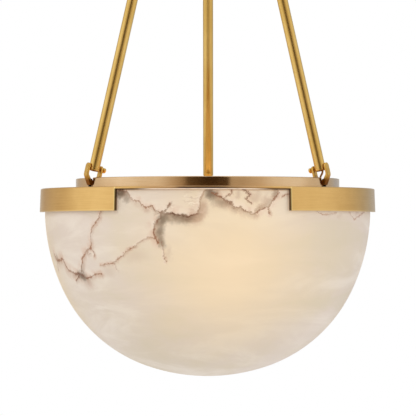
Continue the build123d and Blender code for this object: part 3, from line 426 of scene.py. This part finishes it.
# Painted highlight: a light line down each skirt's end and along the skirts' bottom, on upright
# faces.
line = maths(tree, "MULTIPLY", smooth(tree, gap["Angle"], *END_HIGHLIGHT[0]),
             smooth(tree, gap["Angle"], *END_HIGHLIGHT[1], 1.0, 0.0))
bottom = smooth(tree, split(tree, spot)["Z"], *BOTTOM_HIGHLIGHT, 0.4, 0.0)
line = maths(tree, "MULTIPLY", maths(tree, "MAXIMUM", line, bottom), upright)
tone = mix(tree, line, look["Color"], colour(255, 228, 158))
tone = mix(tree, maths(tree, "MULTIPLY", cut_end_shade, 0.9), tone, colour(62, 30, 10))
rougher = maths(tree, "MULTIPLY_ADD", cut_end_shade, 0.25, look["Roughness"])
feed(tree, shader, Base_Color=tone, Roughness=rougher, Normal=look["Normal"])
lathe_gloss(tree, shader)
paint(ring_brass, "cap_ring")
canopy_brass = turned_brass(
    "spun_canopy_brass", colour(236, 198, 130), colour(214, 172, 102), 0.34, 0.12,
)
paint(canopy_brass, "canopy", "canopy_cap_nuts", "swivel_neck", "swivel_fork", "stem_tongue",
      "hub_plate", "hub_cover")

# ---- Collar ring ----
# A brass ring that stands on the flange and is screwed to it. It is turned more finely than the
# cap ring and is a little rosier.
collar_brass = turned_brass(
    "turned_collar_brass", colour(236, 206, 166), colour(222, 187, 142), 0.17, 0.04,
)
paint(collar_brass, "collar_ring")


# ---- Rods and stem ----
# Half-inch brass tube, drawn through a die and satin polished along its length, so its lines
# run lengthways and each rod shows one dark streak between two bright ones.
drawn, given, result = new_group(
    "drawn_lines",
    [("Position", VECTOR, None)],
    [("Grain", FLOAT), ("Cloud", FLOAT)],
)
# Lines to the metre across the tube and along it.
DIE_LINES = (2600.0, 2600.0, 30.0)
stretched = vector_maths(drawn, "MULTIPLY", given["Position"], DIE_LINES)
drawn.links.new(noise(drawn, stretched, 1.0, 3.0, 0.6), result["Grain"])
drawn.links.new(noise(drawn, given["Position"], 18.0, 4.0, 0.55), result["Cloud"])

LEAN = math.radians(14.2324)
BEARINGS = {"left": -150, "right": -30, "back": 90}
# The back rod's tones are a darker copy of the front ones, a painted shade.
FRONT_TONES = (colour(248, 214, 136), colour(228, 190, 106))
BACK_SHADED_TONES = (colour(236, 202, 126), colour(214, 176, 94))


def drawn_brass(name, bearing, lean, light, deep):
    """Tube brass whose lines follow a tube that leans towards a bearing."""
    material, tree, shader = new_material(name, metallic=1.0)
    upright = add(tree, "ShaderNodeMapping", {"vector_type": "POINT"}, Vector=place(tree))
    upright.inputs["Rotation"].default_value = (0.0, 0.0, -bearing)
    tilt = add(tree, "ShaderNodeMapping", {"vector_type": "POINT"}, Vector=upright.outputs[0])
    tilt.inputs["Rotation"].default_value = (0.0, lean, 0.0)
    grain = group_node(tree, drawn, Position=tilt.outputs[0])
    finish_brass(tree, shader, grain["Grain"], grain["Cloud"], light, deep, 0.33, 0.08)
    return material


for station, bearing in BEARINGS.items():
    tones = BACK_SHADED_TONES if station == "back" else FRONT_TONES
    rod_brass = drawn_brass(f"drawn_rod_{station}", math.radians(bearing), LEAN, *tones)
    paint(rod_brass, f"rod_{station}")
paint(drawn_brass("drawn_stem", 0.0, 0.0, *FRONT_TONES), "stem")

# ---- Yokes and pins ----
# Bent brass strap and turned pins, polished by hand: a finer, cloudier finish with no direction.
# The bends of the strap are darker and browner, a painted shade.

# Each pair is a bend's height and the height by which the painted shade has faded.
YOKE_BENDS = [(-0.669, -0.659), (-0.155, -0.165)]
BEND_CORE = 0.004
hand_polish, tree, shader = new_material("hand_polished_brass", metallic=1.0)
spot = place(tree)
bend = 0.0
for base, arm in YOKE_BENDS:
    near = maths(tree, "ABSOLUTE", maths(tree, "SUBTRACT", split(tree, spot)["Z"], base))
    bend = maths(tree, "MAXIMUM", bend, smooth(tree, near, BEND_CORE, abs(arm - base), 1.0, 0.0))
light = mix(tree, bend, colour(244, 204, 118), colour(168, 120, 56))
deep = mix(tree, bend, colour(218, 172, 80), colour(132, 86, 34))
finish_brass(tree, shader, noise(tree, spot, 900.0, 3.0), noise(tree, spot, 70.0, 4.0),
             light, deep, 0.34, 0.08)
for station in BEARINGS:
    paint(hand_polish, f"upper_yoke_{station}", f"lower_yoke_{station}", f"lower_pin_{station}")
paint(hand_polish, "upper_pins", "knuckle_pin")

# ---- Black screws in the yokes ----
# Steel screws through the yokes and the flange, held by a nut below. They are blackened and have
# a faint oily sheen.
def mottled(name, roughness, metallic, scale, detail, first, second):
    """A plain material whose colour goes softly between two tones."""
    material, tree, shader = new_material(name, roughness, metallic)
    clouds = noise(tree, place(tree), scale, detail)
    feed(tree, shader, Base_Color=mix(tree, clouds, colour(*first), colour(*second)))
    return material


black_steel = mottled("blackened_steel", 0.42, 0.6, 1200.0, 3.0, (18, 16, 14), (46, 40, 34))
paint(black_steel, "upper_studs")
for station in BEARINGS:
    paint(black_steel, f"lower_stud_{station}")

# ---- Zinc-plated hardware ----
# Ceiling bar, nipple, nuts and the screws inside the lamp: pressed or turned steel under bright
# zinc, with a slight bluish cloud.
zinc, tree, shader = new_material("zinc_plate", 0.4, 1.0)
bloom = noise(tree, place(tree), 160.0, 5.0)
feed(tree, shader, Base_Color=mix(tree, bloom, colour(178, 182, 186), colour(214, 216, 214)),
     Roughness=smooth(tree, bloom, 0.3, 0.7, 0.28, 0.46))
paint(zinc, "ceiling_crossbar", "canopy_screws", "ceiling_nipple", "nipple_locknuts",
      "bowl_screws", "collar_screws", "cluster_bolt", "upper_nuts")
for station in BEARINGS:
    paint(zinc, f"lower_nut_{station}")

# ---- Alabaster bowl ----
# Turned from one block of veined alabaster and honed. Brown and grey veins run through it, most
# of them near the rim. The warm glow of the three lamps inside, strongest where they are near, is
# painted: an emission from the stone and a warmer colour near each lamp.
FLANGE_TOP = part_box("cap_ring")[1][2]
BOWL_RADIUS_MM = 197.0

# Veins, as (width in mm, points), where a point is (degrees round from the front, millimetres
# below the flange's top). The shade lies right of a vein that runs up and below one that runs
# right.
VEINS = [
    (1.5, [(-73.4, 79), (-71.8, 87), (-68.5, 86), (-64.8, 84), (-62.6, 97.5), (-58, 101.5),
           (-54, 102), (-50.5, 107)]),
    (0.9, [(-50.5, 107), (-46, 102), (-42, 102)]),
    (0.8, [(-59, 110), (-54, 102)]),
    (0.9, [(-71.8, 87), (-74, 98)]),
    (0.75, [(-44.5, 70), (-44, 55), (-43, 47), (-39.5, 37), (-38.5, 28)]),
    (1.1, [(-53, 99), (-50.5, 84), (-48, 76), (-44.5, 70)]),
    (0.6, [(-43.5, 81), (-44.5, 70)]),
    (0.6, [(-50.5, 84), (-48.5, 79), (-45.5, 77)]),
    (0.5, [(-41, 90.5), (-35, 89), (-30, 77.5), (-24.5, 66.5), (-20.5, 58), (-16.5, 63)]),
    (0.4, [(-34, 97), (-35, 89)]),
    (1.0, [(-31, 5), (-28, 7), (-26, 14.5), (-22.5, 20), (-20.5, 25.5)]),
    (0.75, [(-20.5, 25.5), (-19, 22.5), (-15.5, 31)]),
    (1.5, [(-15.5, 31), (-13, 31), (-9.5, 32.5), (-6, 35), (-3, 32)]),
    (1.1, [(-3, 32), (-2.5, 25.5), (-2, 16), (-0.5, 6)]),
    (1.3, [(-17, 65), (-18, 55.5), (-18, 44.5), (-15.5, 36.5), (-15.5, 31)]),
    (0.4, [(-14.4, 88), (-15, 76), (-15.5, 64)]),
    (0.5, [(-15.5, 31), (-13, 25), (-12.4, 20)]),
    (1.2, [(2, 7), (5, 13), (8, 19), (9.5, 25.5), (11, 24), (12.5, 28.5), (16, 31.5)]),
    (1.0, [(24.5, 3.5), (24.5, 9), (23.5, 14), (21, 24), (19, 25), (16, 31.5)]),
    (0.6, [(21.4, 32), (21, 24)]),
    (0.35, [(6, 13), (8.5, 8), (8, 2)]),
    (0.35, [(12, 3), (14.5, 9), (13.5, 15), (15.5, 20)]),
    (0.4, [(26, 12), (29, 9), (33, 12)]),
    (0.28, [(58, 29), (62, 37), (66, 33), (72, 28)]),
    (0.22, [(40, 28), (44, 33), (50, 30)]),
]
# Stains, as (degrees, mm below the flange's top, half width, half height, strength): grey, then
# brown.
GREY_STAINS = [
    (-30.5, 8, 11, 8, 0.95), (-28, 15, 7, 8, 0.5), (1.5, 10, 12, 10, 0.85), (4.5, 19, 15, 9, 0.45),
    (-14.5, 38, 13, 9, 0.75), (-15.5, 52, 9, 19, 0.75), (-15.5, 66, 8, 9, 0.6),
    (-8, 38, 24, 8, 0.5), (-53, 103, 12, 8, 0.85), (-71, 84, 6, 9, 0.4), (23.5, 8, 7, 8, 0.4),
]
BROWN_STAINS = [
    (-3.5, 36, 14, 14, 0.5), (-1, 26, 9, 14, 0.5), (5, 22, 16, 8, 0.4), (16, 12, 13, 9, 0.42),
    (20, 17, 9, 10, 0.45), (-51, 114, 24, 14, 0.35), (-38, 97, 18, 16, 0.2),
    (-26, 80, 24, 14, 0.2), (10, 11, 6, 6, 0.4),
    (29, 10, 9, 7, 0.25), (-13, 76, 6, 14, 0.25), (-12.5, 24, 5, 6, 0.25), (64, 31, 8, 5, 0.3),
    (46, 31, 16, 5, 0.2), (52, 34, 10, 6, 0.2),
]
# Where veins have a shade beside them, and where the stone is finely striped.
SHADED = [
    (-10, 38, 46, 42, 1.0), (13, 12, 52, 30, 0.8), (-30, 9, 14, 12, 1.0), (-54, 100, 26, 20, 0.7),
]
STRIPED = [(-5, 17, 12, 20, 1.0), (-12, 26, 10, 10, 0.7)]
stroke, given, result = new_group(
    "vein_stroke",
    [("Field", VECTOR, None), ("Start", VECTOR, None), ("Run", VECTOR, None),
     ("Reach", VECTOR, None), ("Across", VECTOR, None), ("Width", FLOAT, 1.0)],
    [("Field", VECTOR)],
)
# The field's X and Y are the place on the stone, and its Z is how many widths away the nearest
# vein so far is, below 0 on its clear side.
here = split(stroke, given["Field"])
offset = vector_maths(stroke, "MULTIPLY", given["Field"], (1, 1, 0))
offset = vector_maths(stroke, "SUBTRACT", offset, given["Start"])
share = vector_maths(stroke, "DOT_PRODUCT", offset, given["Reach"])
share = maths(stroke, "MULTIPLY", share, 1.0, clamp=True)
along = add(stroke, "ShaderNodeVectorMath", {"operation": "SCALE"}, in0=given["Run"], Scale=share)
away = vector_maths(stroke, "DISTANCE", offset, along.outputs["Vector"])
away = maths(stroke, "DIVIDE", away, given["Width"])
side = maths(stroke, "SIGN", vector_maths(stroke, "DOT_PRODUCT", offset, given["Across"]))
nearer = maths(stroke, "LESS_THAN", away, maths(stroke, "ABSOLUTE", here["Z"]))
change = maths(stroke, "SUBTRACT", maths(stroke, "MULTIPLY", away, side), here["Z"])
field = maths(stroke, "MULTIPLY_ADD", change, nearer, here["Z"])
field = add(stroke, "ShaderNodeCombineXYZ", X=here["X"], Y=here["Y"], Z=field)
stroke.links.new(field.outputs["Vector"], result["Field"])

stain, given, result = new_group(
    "stain",
    [("Position", VECTOR, None), ("Centre", VECTOR, None), ("Scale", VECTOR, None),
     ("Strength", FLOAT, 0.5), ("Before", FLOAT, 0.0)],
    [("Amount", FLOAT)],
)
offset = vector_maths(stain, "SUBTRACT", given["Position"], given["Centre"])
away = vector_maths(stain, "LENGTH", vector_maths(stain, "MULTIPLY", offset, given["Scale"]))
amount = maths(stain, "MULTIPLY", smooth(stain, away, 0.1, 1.0, 1.0, 0.0), given["Strength"])
amount = maths(stain, "MULTIPLY", amount, maths(stain, "SUBTRACT", 1.0, given["Before"]))
stain.links.new(maths(stain, "ADD", amount, given["Before"]), result["Amount"])


def jittered(tree, sheet, spot, *shifts):
    """A place on the unrolled stone, moved by noises given as (scale, size in millimetres)."""
    for scale, size in shifts:
        moved = noise(tree, spot, scale, 4.0, 0.65, output="Color")
        moved = vector_maths(tree, "SUBTRACT", moved, (0.5, 0.5, 0.5))
        moved = vector_maths(tree, "MULTIPLY", moved, (size, size, 0.0))
        sheet = vector_maths(tree, "ADD", sheet, moved)
    return sheet


alabaster, tree, shader = new_material("veined_alabaster", 0.42)
spot = place(tree)
parts = split(tree, spot)
bearing = maths(tree, "ARCTAN2", parts["X"], maths(tree, "MULTIPLY", parts["Y"], -1.0))
# The back has the front's veins mirrored about the plane 10 degrees behind the sides, and a
# little lower, so that they meet at that plane.
SIDE = math.radians(100)
BACK_DROP = 16.0
lifted = maths(tree, "ADD", bearing, math.pi - SIDE)
lifted = maths(tree, "FLOORED_MODULO", lifted, 2 * math.pi)
folded = maths(tree, "PINGPONG", lifted, math.pi)
folded = maths(tree, "ADD", folded, SIDE - math.pi)
behind = maths(tree, "MAXIMUM", maths(tree, "SUBTRACT", lifted, math.pi), 0.0)
lower = maths(tree, "MULTIPLY", maths(tree, "SINE", behind), BACK_DROP)
drop = maths(tree, "MULTIPLY_ADD", parts["Z"], -1000.0, FLANGE_TOP * 1000)
sheet = add(tree, "ShaderNodeCombineXYZ", X=maths(tree, "MULTIPLY", folded, BOWL_RADIUS_MM),
            Y=maths(tree, "SUBTRACT", drop, lower)).outputs["Vector"]
crinkled = jittered(tree, sheet, spot, (130.0, 8.0), (480.0, 6.0))
cloudy = jittered(tree, sheet, spot, (60.0, 16.0), (300.0, 5.0))
# The chain of veins starts as if the nearest vein were far off, on its clear side.
NO_VEIN = -200.0
field = vector_maths(tree, "ADD", crinkled, (0.0, 0.0, NO_VEIN))
for width, points in VEINS:
    bowl_points = [(math.radians(angle) * BOWL_RADIUS_MM, fall, 0.0) for angle, fall in points]
    for start, end in zip(bowl_points, bowl_points[1:]):
        run = [b - a for a, b in zip(start, end)]
        length = math.hypot(*run)
        field = group_node(tree, stroke, Field=field, Start=start, Run=run,
                           Reach=[step / length ** 2 for step in run],
                           Across=(-run[1] / length, run[0] / length, 0.0), Width=width)["Field"]
field = split(tree, field)["Z"]
nearness = maths(tree, "ABSOLUTE", field)
vein = smooth(tree, nearness, 0.25, 1.5, 1.0, 0.0)
patchy = noise(tree, spot, 75.0, 3.0)
vein = maths(tree, "MULTIPLY", vein, smooth(tree, patchy, 0.35, 0.6, 0.5, 1.0))
shade = maths(tree, "MULTIPLY", smooth(tree, field, 0.5, 8.0, 0.85, 0.0),
              smooth(tree, field, -1.5, 1.0))
halo = maths(tree, "MULTIPLY", smooth(tree, nearness, 0.5, 9.0, 1.0, 0.0),
             smooth(tree, patchy, 0.35, 0.65, 0.15, 0.65))
pale_edge = maths(tree, "MULTIPLY", smooth(tree, field, -9.0, -0.5),
                  smooth(tree, field, -1.5, 0.0, 1.0, 0.0))
amounts = []
for stains in (GREY_STAINS, BROWN_STAINS, SHADED, STRIPED):
    amount = 0.0
    for angle, fall, half_width, half_height, strength in stains:
        amount = group_node(tree, stain, Position=cloudy,
                            Centre=(math.radians(angle) * BOWL_RADIUS_MM, fall, 0.0),
                            Scale=(1 / half_width, 1 / half_height, 0.0), Strength=strength,
                            Before=amount)["Amount"]
    amounts.append(amount)
grey, brown, shaded, striped = amounts
milk = noise(tree, spot, 9.0, 5.0, 0.6)
WISP_TILT = math.radians(24)
slant = add(tree, "ShaderNodeMapping", {"vector_type": "POINT"}, Vector=spot)
slant.inputs["Rotation"].default_value = (0.0, WISP_TILT, 0.0)
slant.inputs["Scale"].default_value = (7.0, 7.0, 30.0)
wisps = noise(tree, slant.outputs["Vector"], 1.0, 5.0, 0.6, 0.6)
speckle = noise(tree, spot, 240.0, 4.0, 0.7)

# The painted glow, standing in for the lamps' light through the stone: brightest on the wall
# near each lamp, and inside. A spot is (degrees round from the front, millimetres below the
# flange's top), and its middle lies inside the wall.
GLOW_SPOTS = [(8, 96), (128, 96), (-112, 96)]
GLOW_RADIUS = 0.184
glow = 0.0
painted_warmth = 0.0
for angle, fall in GLOW_SPOTS:
    turned_to = math.radians(angle)
    centre = (GLOW_RADIUS * math.sin(turned_to), -GLOW_RADIUS * math.cos(turned_to),
              FLANGE_TOP - fall / 1000)
    distance = vector_maths(tree, "DISTANCE", spot, centre)
    distance = maths(tree, "MULTIPLY_ADD", milk, -0.06, distance)
    distance = maths(tree, "MULTIPLY_ADD", wisps, -0.03, distance)
    glow = maths(tree, "MAXIMUM", glow, smooth(tree, distance, -0.06, 0.11, 1.0, 0.0))
    painted_warmth = maths(tree, "MAXIMUM", painted_warmth, smooth(tree, distance, -0.02, 0.14, 1.0, 0.0))
from_middle = vector_maths(tree, "SUBTRACT", spot, (0.0, 0.0, FLANGE_TOP))
facing = tree.nodes.new("ShaderNodeTexCoord").outputs["Normal"]
outward = vector_maths(tree, "DOT_PRODUCT", from_middle, facing)
inside = smooth(tree, outward, -0.05, 0.05, 1.0, 0.0)

stone = mix(tree, smooth(tree, milk, 0.36, 0.64), colour(214, 199, 185), colour(212, 198, 176))
stone = mix(tree, smooth(tree, wisps, 0.46, 0.66, 0.0, 0.7), stone, colour(230, 219, 205))
stone = mix(tree, smooth(tree, wisps, 0.34, 0.48, 0.5, 0.0), stone, colour(206, 193, 166))
# Painted warm light: the stone's colour is warmer near each lamp.
stone = mix(tree, maths(tree, "MULTIPLY", painted_warmth, 0.85), stone, colour(219, 200, 163))
stone = mix(tree, maths(tree, "MULTIPLY", pale_edge, 0.45), stone, colour(236, 225, 210))
cloud_colour = mix(tree, smooth(tree, milk, 0.42, 0.56), colour(126, 99, 72), colour(136, 97, 68))
shade = maths(tree, "MULTIPLY", shade, smooth(tree, speckle, 0.3, 0.6, 0.75, 1.0))
shade = maths(tree, "MULTIPLY", shade, maths(tree, "MULTIPLY_ADD", shaded, 0.85, 0.15))
STRIPE_TILT = math.radians(-62)
stripes = add(tree, "ShaderNodeMapping", {"vector_type": "POINT"}, Vector=cloudy)
stripes.inputs["Rotation"].default_value = (0.0, 0.0, STRIPE_TILT)
stripes.inputs["Scale"].default_value = (0.05, 0.5, 1.0)
stripes = noise(tree, stripes.outputs["Vector"], 1.0, 3.0)
light_stripe = maths(tree, "MULTIPLY", smooth(tree, stripes, 0.52, 0.66), striped)
dark_stripe = maths(tree, "MULTIPLY", smooth(tree, stripes, 0.36, 0.48, 1.0, 0.0), striped)
stone = mix(tree, maths(tree, "MULTIPLY", light_stripe, 0.7), stone, colour(246, 236, 220))
stone = mix(tree, maths(tree, "MULTIPLY", dark_stripe, 0.55), stone, colour(176, 146, 122))
stone = mix(tree, halo, stone, colour(190, 146, 114))
stone = mix(tree, maths(tree, "MULTIPLY", brown, 0.95), stone, colour(176, 138, 112))
stone = mix(tree, maths(tree, "MULTIPLY", shade, 0.95), stone, cloud_colour)
stone = mix(tree, maths(tree, "MULTIPLY", grey, 0.9), stone, colour(104, 84, 60))
vein_colour = mix(tree, shaded, colour(150, 96, 60), colour(92, 54, 28))
stone = mix(tree, maths(tree, "MULTIPLY", vein, 0.95), stone, vein_colour)

# Veins and stains let less of the light through.
dimmed = maths(tree, "MAXIMUM", grey, shade)
dimmed = maths(tree, "MAXIMUM", dimmed, maths(tree, "MULTIPLY", vein, 0.9))
dimmed = maths(tree, "MAXIMUM", dimmed, maths(tree, "MULTIPLY", brown, 0.6))
# The emission is the painted glow of the lamps' light through the stone, brighter inside.
lit = mix(tree, glow, colour(92, 82, 72), colour(140, 114, 89))
lit = mix(tree, inside, lit, colour(142, 120, 90))
lit = mix(tree, dimmed, lit, colour(30, 18, 10))
lift = add(tree, "ShaderNodeBump", Strength=0.12, Distance=0.0003, Height=speckle)
feed(tree, shader, Base_Color=stone, Roughness=smooth(tree, milk, 0.3, 0.7, 0.36, 0.5),
     Emission_Color=lit, Normal=lift.outputs["Normal"])
shader.inputs["Emission Strength"].default_value = 1.0
paint(alabaster, "alabaster_bowl")

# ---- Gasket ----
# A moulded ring of cream silicone, held between the stone's rim and the flange. It is light and
# has a painted glow in the gaps between the skirts, an emission standing in for the lamps' light
# through it, and is darker and browner beside the skirts, a painted shade made uneven by a noise.
silicone, tree, shader = new_material("cream_silicone", 0.6)
painted_light_part = group_node(tree, gaps, Position=place(tree))["Middle"]
patch_noise = noise(tree, place(tree), 160.0, 3.0)
painted_light_part = maths(tree, "MULTIPLY", painted_light_part, smooth(tree, patch_noise, 0.2, 0.5, 0.7, 1.0))
feed(tree, shader,
     Base_Color=mix(tree, painted_light_part, colour(84, 58, 40), colour(216, 200, 178)),
     Emission_Color=mix(tree, painted_light_part, colour(30, 18, 8), colour(176, 166, 154)))
shader.inputs["Emission Strength"].default_value = 1.0
paint(silicone, "bowl_gasket")

# ---- Rubber: pads, washers and grommet ----
# Black moulded rubber with a matt skin: pads behind the skirts, washers under the bowl's screws,
# and the grommet where the flex goes through the flange.
rubber = mottled("matt_rubber", 0.75, 0.0, 220.0, 4.0, (22, 22, 22), (44, 43, 41))
paint(rubber, "skirt_pads", "bowl_washers", "cord_grommet")

# ---- Lamp bridge and cluster ----
# The bridge hangs under the flange and carries the cluster. Both are pressed and cast metal in
# white enamel, slightly uneven like all stoved paint.
enamel = mottled("white_enamel", 0.3, 0.0, 90.0, 3.0, (226, 223, 214), (238, 236, 229))
paint(enamel, "lamp_bridge", "lamp_cluster")

# ---- Lampholders ----
# Three holders of glazed white ceramic, moulded and fired, one for each bulb. They are fixed to
# the cluster.
ceramic = mottled("glazed_ceramic", 0.18, 0.0, 260.0, 3.0, (228, 225, 216), (240, 238, 231))
SOCKETS = ("front", "right", "left")
for socket_side in SOCKETS:
    paint(ceramic, f"lampholder_{socket_side}")

# ---- Bulbs and their caps ----
# Blown glass bulbs, frosted and lit, in screw caps that are rolled from thin metal and turned
# into the holders.
frosted, tree, shader = new_material("frosted_glass", 0.4)
lit = mix(tree, noise(tree, place(tree), 60.0, 2.0), colour(255, 232, 190), colour(255, 240, 210))
feed(tree, shader, Base_Color=lit, Emission_Color=lit)
shader.inputs["Emission Strength"].default_value = 1.2
for socket_side in SOCKETS:
    paint(frosted, f"bulb_{socket_side}")
cap_metal = mottled("rolled_cap_metal", 0.35, 1.0, 300.0, 3.0, (186, 186, 184), (216, 216, 212))
paint(cap_metal, "bulb_caps")

# ---- Flexes ----
# Round two-core flex in a golden brown braided sleeve: one through the right rod from the hub to
# the cap ring, its lead inside the bowl to the lamp cluster, and a thicker one up the stem.
FLEX_DIAMETER = 0.0024
STEM_FLEX_DIAMETER = 0.0045
# The routes' points are given one by one, in metres. Inside the right yoke the flex bends in an S,
# clear of the yoke when the ring twists.
SUPPLY_ROUTE = [
    (0.13637, -0.065801, -0.6755), (0.13637, -0.065801, -0.6658), (0.1335, -0.0688, -0.6606),
    (0.1374, -0.0744, -0.6544), (0.13525, -0.07393, -0.6462), (0.0322, -0.01455, -0.17924),
    (0.03047, -0.01355, -0.171355), (0.032091, -0.013216, -0.1634), (0.037989, -0.009001, -0.1584),
    (0.037989, -0.009001, -0.145),
]
LEAD_ROUTE = [
    (0.13637, -0.065801, -0.6758), (0.13637, -0.065801, -0.685), (0.117278, -0.056588, -0.700),
    (0.075003, -0.03619, -0.700), (0.043638, -0.021056, -0.6865), (0.019814, -0.009561, -0.6865),
]
STEM_ROUTE = [(0, 0, -0.151), (0, 0, -0.115), (0, 0, -0.0785)]
flex, tree, shader = new_material("gold_flex_sleeve", 0.5)
weave = noise(tree, place(tree), 900.0, 2.0)
on_sleeve = split(tree, tree.nodes.new("ShaderNodeTexCoord").outputs["UV"])
around = maths(tree, "MULTIPLY", on_sleeve["Y"], 25.0)
braid = maths(tree, "SINE", maths(tree, "MULTIPLY_ADD", on_sleeve["X"], 900.0, around))
braid = maths(tree, "MULTIPLY_ADD", braid, 0.25, weave)
sleeve = mix(tree, smooth(tree, braid, 0.3, 0.8), colour(172, 116, 56), colour(228, 178, 104))
lift = add(tree, "ShaderNodeBump", Strength=0.3, Distance=0.0002, Height=braid)
feed(tree, shader, Base_Color=sleeve, Normal=lift.outputs["Normal"])


def flex_piece(name, route, diameter):
    """A round flex along one smooth line drawn by the route's points."""
    line = bpy.data.curves.new(name, "CURVE")
    line.dimensions = "3D"
    line.bevel_depth = diameter / 2
    line.bevel_resolution = 4
    line.use_fill_caps = True
    spline = line.splines.new("NURBS")
    spline.points.add(len(route) - 1)
    for point, (x, y, z) in zip(spline.points, route):
        point.co = (x, y, z, 1)
    spline.order_u = 3
    spline.use_endpoint_u = True
    spline.resolution_u = 24
    piece = bpy.data.objects.new(name, line)
    bpy.context.scene.collection.objects.link(piece)
    line.materials.append(flex)
    return piece


supply_flex = flex_piece("supply_flex", SUPPLY_ROUTE, FLEX_DIAMETER)
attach(supply_flex, "rod_right")
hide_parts("supply_cord")
lead_flex = flex_piece("lead_flex", LEAD_ROUTE, FLEX_DIAMETER)
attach(lead_flex, "bowl_ring")
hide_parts("ring_lead")
stem_flex = flex_piece("stem_flex", STEM_ROUTE, STEM_FLEX_DIAMETER)
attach(stem_flex, "hanger")
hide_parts("stem_cord")

# ---- Terminal block ----
# A small block of white moulded plastic on the hub plate, with two open wells, where the supply
# flex meets the stem's.
plastic = mottled("moulded_plastic", 0.35, 0.0, 120.0, 2.0, (226, 224, 214), (238, 236, 228))
paint(plastic, "hub_terminal")
